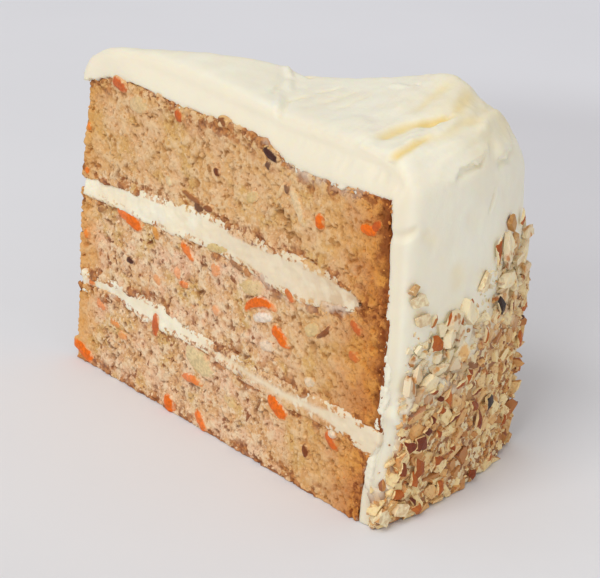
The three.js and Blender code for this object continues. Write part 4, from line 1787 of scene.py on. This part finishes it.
def make_chip(index, name, shape, breaks):
    """A slab or sliver: broken above and below, and on a few sides."""
    dice = random.Random(NUT_SEED + index)
    chip = chip_ball(name + "_" + str(index))
    for up_or_down in (UP, -UP):
        lean = Vector((dice.gauss(0, 0.14), dice.gauss(0, 0.14), 0))
        break_off(chip, (up_or_down + lean).normalized(), dice.uniform(0.14, 0.24))
    turn = dice.uniform(0, math.tau)
    for _ in range(breaks):
        turn += math.tau / breaks * dice.uniform(0.7, 1.3)
        side = Vector((math.cos(turn), math.sin(turn), dice.gauss(0, 0.3))).normalized()
        break_off(chip, side, dice.uniform(0.22, 0.38))
    bpy.ops.mesh.select_all(action="SELECT")
    bpy.ops.transform.vertex_random(offset=0.3 * MM, seed=NUT_SEED + index)
    bpy.ops.transform.resize(value=[part * dice.uniform(0.85, 1.15) for part in shape])
    bpy.ops.object.mode_set(mode="OBJECT")
    return chip


def make_flake(index, name, breaks):
    """A thin cap of skin with broken sides."""
    dice = random.Random(NUT_SEED + index)
    chip = chip_ball(name + "_" + str(index))
    lean = Vector((dice.gauss(0, 0.1), dice.gauss(0, 0.1), -1)).normalized()
    break_off(chip, lean, -0.2)
    turn = dice.uniform(0, math.tau)
    for _ in range(breaks):
        turn += math.tau / breaks * dice.uniform(0.6, 1.4)
        break_off(chip, Vector((math.cos(turn), math.sin(turn), 0)), dice.uniform(0.12, 0.34))
    bpy.ops.mesh.select_all(action="SELECT")
    bpy.ops.transform.translate(value=(0, 0, -0.24 * CHIP_LENGTH * MM))
    bpy.ops.transform.resize(value=(1, 1, 0.65), center_override=(0, 0, 0))
    bpy.ops.transform.vertex_random(offset=0.2 * MM, seed=NUT_SEED + index)
    bpy.ops.object.mode_set(mode="OBJECT")
    return chip


SLAB = (1.0, 0.8, 0.8)
SLIVER = (1.3, 0.5, 0.7)
slabs = [make_chip(index, "slab", SLAB, 4 + index % 2) for index in range(10)]
slivers = [make_chip(20 + index, "sliver", SLIVER, 2) for index in range(5)]
skins = [make_flake(40 + index, "skin", 3) for index in range(4)]
chip_set = set_aside("nut_chips", slabs + slivers + skins)

# %% [markdown]
# The same scatter as for the crumbs lays the chips over the open faces of the nut band.
# Poisson disk spacing keeps them from piling up in one place. Large chips come first, sunk
# the most, because they were pressed into soft frosting, and small ones fill in between and
# lie on top. Towards the upper edge they thin out.

# %% Scatter the chips
# In mm below the upper edge, where the chips are thinnest and where thickest, and how thick
CHIPS_BELOW, CHIPS_SHARES = (0.0, 14.0), (0.25, 1.0)


def nut_density(tree):
    """Only on the open faces of the band, thinner near its edge and none in the bare corner."""
    place = place_in_mm(tree)
    there = maths(tree, "GREATER_THAN", open_side(tree, place), 0.3)
    thick = span(tree, ragged_below(tree, place, 7.0, 12.0), *CHIPS_BELOW, *CHIPS_SHARES)
    covered = maths(tree, "SUBTRACT", 1.0, bare_corner(tree, place))
    return product(tree, there, thick, covered)


# Each row: spacing, mm sunk, lean in radians, smallest and largest size
NUT_LAYERS = [
    (3.8, 1.3, 0.25, (1.0, 1.5)),
    (2.4, 0.4, 0.7, (0.5, 0.9)),
    (1.9, 0.0, 1.5, (0.16, 0.36)),
]
nut_layers = []
for index, (spacing, sink, tilt, sizes) in enumerate(NUT_LAYERS):
    layer = solid_copy("nut_coat", "nut_layer_" + str(index))
    layer_scatter = scatter_tree(
        "nut_scatter_" + str(index), nut_density, [paste, coat], spacing, sink, tilt, sizes,
        NUT_SEED + index * 10)
    apply_nodes(layer, layer_scatter, Pieces=chip_set)
    nut_layers.append(layer)
drop_collection(chip_set)
nuts = join_pieces(nut_layers, "chopped_nuts")
finish_piece(nuts, "nuts", "nut_coat", smooth=False)

# %% [markdown]
# Some pieces stand out from the rest: orange-brown flakes of skin, two nearly black bits, a
# clump of red-brown ones near the foot, and chips that strayed above the band. They are
# placed one by one on the paste, or on the frosting where that is nearer.

# %% Flakes that stand out
# Each row: angle, height, length, width, turn in degrees, tone from dark to pale
FLAKES = [
    (-8.0, 46.1, 6.2, 4.0, -21, 0.50),
    (-2.5, 51.4, 4.6, 2.8, 30, 0.45),
    (3.6, 60.7, 7.4, 2.8, 81, 0.40),
    (-3.9, 48.7, 4.2, 1.8, -80, 0.55),
    (-6.7, 50.1, 3.6, 2.2, 58, 0.50),
    (-12.3, 58.3, 5.8, 3.8, -11, 0.95),
    (-11.4, 53.6, 5.4, 3.2, -7, 0.85),
    (-9.2, 51.9, 3.4, 1.6, 78, 0.60),
    (-13.6, 62.5, 3.0, 1.6, 50, 0.75),
    (4.0, 46.8, 5.6, 2.9, -60, 0.00),
    (0.8, 55.6, 5.6, 3.2, 64, 0.95),
    (7.6, 66.4, 4.6, 3.8, -80, 0.70),
    (8.6, 60.4, 6.4, 3.0, -86, 0.75),
    (11.8, 65.0, 4.8, 2.4, -80, 0.50),
    (8.7, 45.6, 5.2, 1.8, -100, 0.30),
    (13.6, 40.0, 4.6, 2.6, 10, 0.55),
    (12.8, 30.4, 5.0, 3.4, -91, 0.50),
    (12.2, 37.4, 2.0, 1.4, -22, 0.10),
    (-0.2, 41.6, 4.6, 1.4, -80, 0.55),
    (-1.6, 34.7, 3.0, 2.4, -100, 0.35),
    (-2.5, 33.1, 3.6, 1.6, 50, 0.45),
    (-5.9, 30.4, 5.2, 2.6, -75, 0.55),
    (3.8, 20.8, 5.4, 4.4, -21, 0.00),
    (-0.6, 23.3, 5.0, 2.4, -34, 0.35),
    (1.7, 17.9, 6.4, 2.8, -75, 0.32),
    (13.0, 10.6, 4.8, 3.2, 20, 0.60),
    (14.0, 20.6, 4.0, 2.4, 0, 0.55),
    (-9.6, 24.2, 3.4, 2.6, -19, 0.15),
    (-6.7, 20.8, 2.6, 1.8, -31, 0.40),
    (-10.9, 20.9, 5.8, 4.2, -30, 0.20),
    (-11.9, 18.3, 6.0, 3.2, -27, 0.26),
    (-10.6, 14.4, 6.4, 4.2, -70, 0.40),
    (-12.2, 14.6, 5.0, 3.0, -68, 0.32),
    (-2.8, 15.6, 3.6, 1.5, -74, 0.35),
    (3.3, 3.4, 4.4, 3.0, -45, 0.30),
    (6.4, 4.8, 4.0, 1.8, 10, 0.50),
    (-10.4, 8.5, 5.4, 3.0, -66, 0.50),
    (-8.4, 3.2, 4.2, 3.2, -27, 0.55),
    (-11.8, 8.4, 5.0, 2.6, -10, 0.50),
    (-10.0, 4.3, 3.6, 1.2, -60, 0.15),
    (-14.5, 3.6, 5.0, 4.2, -30, 1.00),
    (-11.4, 3.8, 4.2, 3.6, -23, 0.85),
    (-8.1, 31.5, 2.4, 1.6, -6, 0.15),
    (-8.8, 26.7, 2.2, 1.8, -52, 0.18),
    (-6.9, 27.3, 3.4, 1.8, -3, 0.40),
    (-4.2, 22.9, 4.6, 1.4, 15, 0.25),
    (-6.3, 10.6, 3.6, 2.8, -5, 0.40),
    (-4.9, 3.8, 3.6, 2.4, -94, 0.50),
    (10.4, 11.9, 3.6, 2.0, -85, 0.40),
    (-9.5, 36.4, 3.6, 1.4, -10, 0.35),
    (0.0, 27.8, 4.6, 1.3, 10, 0.30),
    (-3.7, 32.7, 4.6, 1.4, 10, 0.40),
]
# Pieces paler than this are slabs and the rest thin flakes
PALE_FROM = 0.62
FLAKE_LIFT = 0.8
PLAIN_TINT = 0.6
# A flake is laid where the side is nearest to a place this far from the axis, in mm
WELL_OUTSIDE = 124

flake_finish, tree, shader, place = new_material("nut_flake")
tone = attribute(tree, "tone")
colour = layered(
    tree,
    paint(54, 36, 28),
    (paint(132, 56, 20), tone, 0.0, 0.25, 1.0),
    (paint(196, 104, 34), tone, 0.25, 0.5, 1.0),
    (paint(208, 160, 98), tone, 0.5, 0.75, 1.0),
    (paint(252, 236, 196), tone, 0.7, 0.9, 1.0),
)
mottled = in_two_tones(tree, place, 1.1, paint(222, 204, 188), paint(255, 255, 255))
colour = mixed(tree, 0.8, colour, mottled, blend="MULTIPLY")
set_surface(tree, shader, colour, 0.45, 0.25)
soften(shader, 0.15, (0.8, 0.5, 0.3))
bump(tree, shader, place, 0.5, 0.2)

flake_tone, tone_in, tone_out = geometry_tree("flake_tone", ("Tone", "Float"))
made = stored(flake_tone, tone_in["Geometry"], "tone", tone_in["Tone"])
made = stored(flake_tone, made, "tint", PLAIN_TINT)
feed(flake_tone, tone_out["Geometry"], made)


def face_tree(piece):
    """The faces of a piece, ready for a search for the nearest one."""
    corners = [vertex.co for vertex in piece.data.vertices]
    return BVHTree.FromPolygons(corners, [face.vertices for face in piece.data.polygons])


side_trees = [face_tree(paste), face_tree(coat)]


def nearest_outside(place):
    """The nearest point on the nut paste or the frosting."""
    found = [tree.find_nearest(place)[0] for tree in side_trees]
    return min(found, key=lambda spot: (spot - place).length)


def fit_flake(flake, *sizes):
    """Stretch a flake so that it is so many mm long and wide."""
    spans = []
    for axis, wanted in enumerate(sizes):
        values = [vertex.co[axis] for vertex in flake.data.vertices]
        spans.append(wanted * MM / (max(values) - min(values)))
    flake.data.transform(Matrix.Diagonal((*spans, 1.0, 1.0)))


def make_placed_flake(index, degrees, height, length, width, turn, tone):
    """A slab or flake of its own size, laid on the side."""
    if tone > PALE_FROM:
        flake = make_chip(60 + index, "flake", SLAB, 4)
        flake.data.materials[1] = flake_finish
    else:
        flake = make_flake(60 + index, "flake", 3)
        flake.data.materials[0] = flake_finish
    fit_flake(flake, length, width)
    out = from_axis(1, degrees)
    where = nearest_outside(AXIS + from_axis(WELL_OUTSIDE, degrees, height) * MM)
    lay(flake, where + out * FLAKE_LIFT * MM, out, UP.cross(out), turn)
    apply_nodes(flake, flake_tone, Tone=tone)
    return flake


flakes = join_pieces([make_placed_flake(i, *row) for i, row in enumerate(FLAKES)], "nut_flakes")
finish_piece(flakes, "nuts", smooth=False)

# %% [markdown]
# The slice stands on a plain pale table under one large soft lamp in front and above. A small
# weak one stands low beyond the nuts, and the room's own light comes from all round, so the
# shadow is faint. The table is painted paler towards the back, and a soft shadow is painted
# on it behind the slice.

# %% Table and light
TABLE_SIZE, TABLE_DROP = 6.0, 0.0002
# From where to where, in mm from front to back, the table top is painted paler, as painted light
TABLE_PAINTED_LIGHT = (-300.0, 500.0)
# Behind the slice a soft shadow is painted on the table: where, and from how far off to how near
PAINTED_SHADOW_MIDDLE = (50.0, 205.0, 0.0)
PAINTED_SHADOW_FADE = (130.0, 65.0)
CLOUD_SIZE = 120.0
ROOM_COLOUR, ROOM_STRENGTH = (1.0, 0.99, 0.98, 1.0), 0.49
LAMP_AIM = Vector((0, 0, 0.04))

bpy.ops.mesh.primitive_plane_add(size=TABLE_SIZE, location=(0, 0, -TABLE_DROP))
table = bpy.context.object
table.name = "table_top"
table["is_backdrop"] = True
table_finish, tree, shader, place = new_material("pale_table")
close_by = in_two_tones(tree, place, CLOUD_SIZE, paint(228, 228, 230), paint(231, 231, 233))
far_off = in_two_tones(tree, place, CLOUD_SIZE, paint(241, 241, 247), paint(243, 243, 249))
# Painted light: the table is painted paler towards the back
share = span(tree, channel(tree, place, 1), *TABLE_PAINTED_LIGHT)
colour = mixed(tree, share, close_by, far_off)
off_painted_shadow = vector_maths(tree, "LENGTH", vector_maths(tree, "SUBTRACT", place, PAINTED_SHADOW_MIDDLE))
# A soft painted shadow behind the slice
shade = span(tree, off_painted_shadow, *PAINTED_SHADOW_FADE)
colour = mixed(tree, shade, colour, paint(241, 240, 240), blend="MULTIPLY")
set_surface(tree, shader, colour, 0.9, 0.1)
table.data.materials.append(table_finish)

world = bpy.data.worlds.new("room_light")
bpy.context.scene.world = world
world.use_nodes = True
room = world.node_tree.nodes["Background"]
room.inputs["Color"].default_value = ROOM_COLOUR
room.inputs["Strength"].default_value = ROOM_STRENGTH


def add_lamp(name, place, watts, size):
    """A square soft lamp aimed at the middle of the slice."""
    turn = (Vector(place) - LAMP_AIM).to_track_quat("Z", "Y").to_euler()
    bpy.ops.object.light_add(type="AREA", location=place, rotation=turn)
    lamp = bpy.context.object
    lamp.name = name
    lamp.data.energy = watts
    lamp.data.size = size


add_lamp("key_lamp", (-0.05, -1.57, 1.73), 28.5, 1.3)
add_lamp("side_lamp", (1.3, -0.35, 0.22), 2.0, 0.5)

bpy.context.scene.view_settings.view_transform = "Standard"

# %% Measure sizes and finish
seen_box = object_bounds()
sizes = {
    "cad": [[float(v) for v in corner] for corner in cad_box],
    "visual": [[float(v) for v in corner] for corner in seen_box],
}
print("sizes:", sizes)
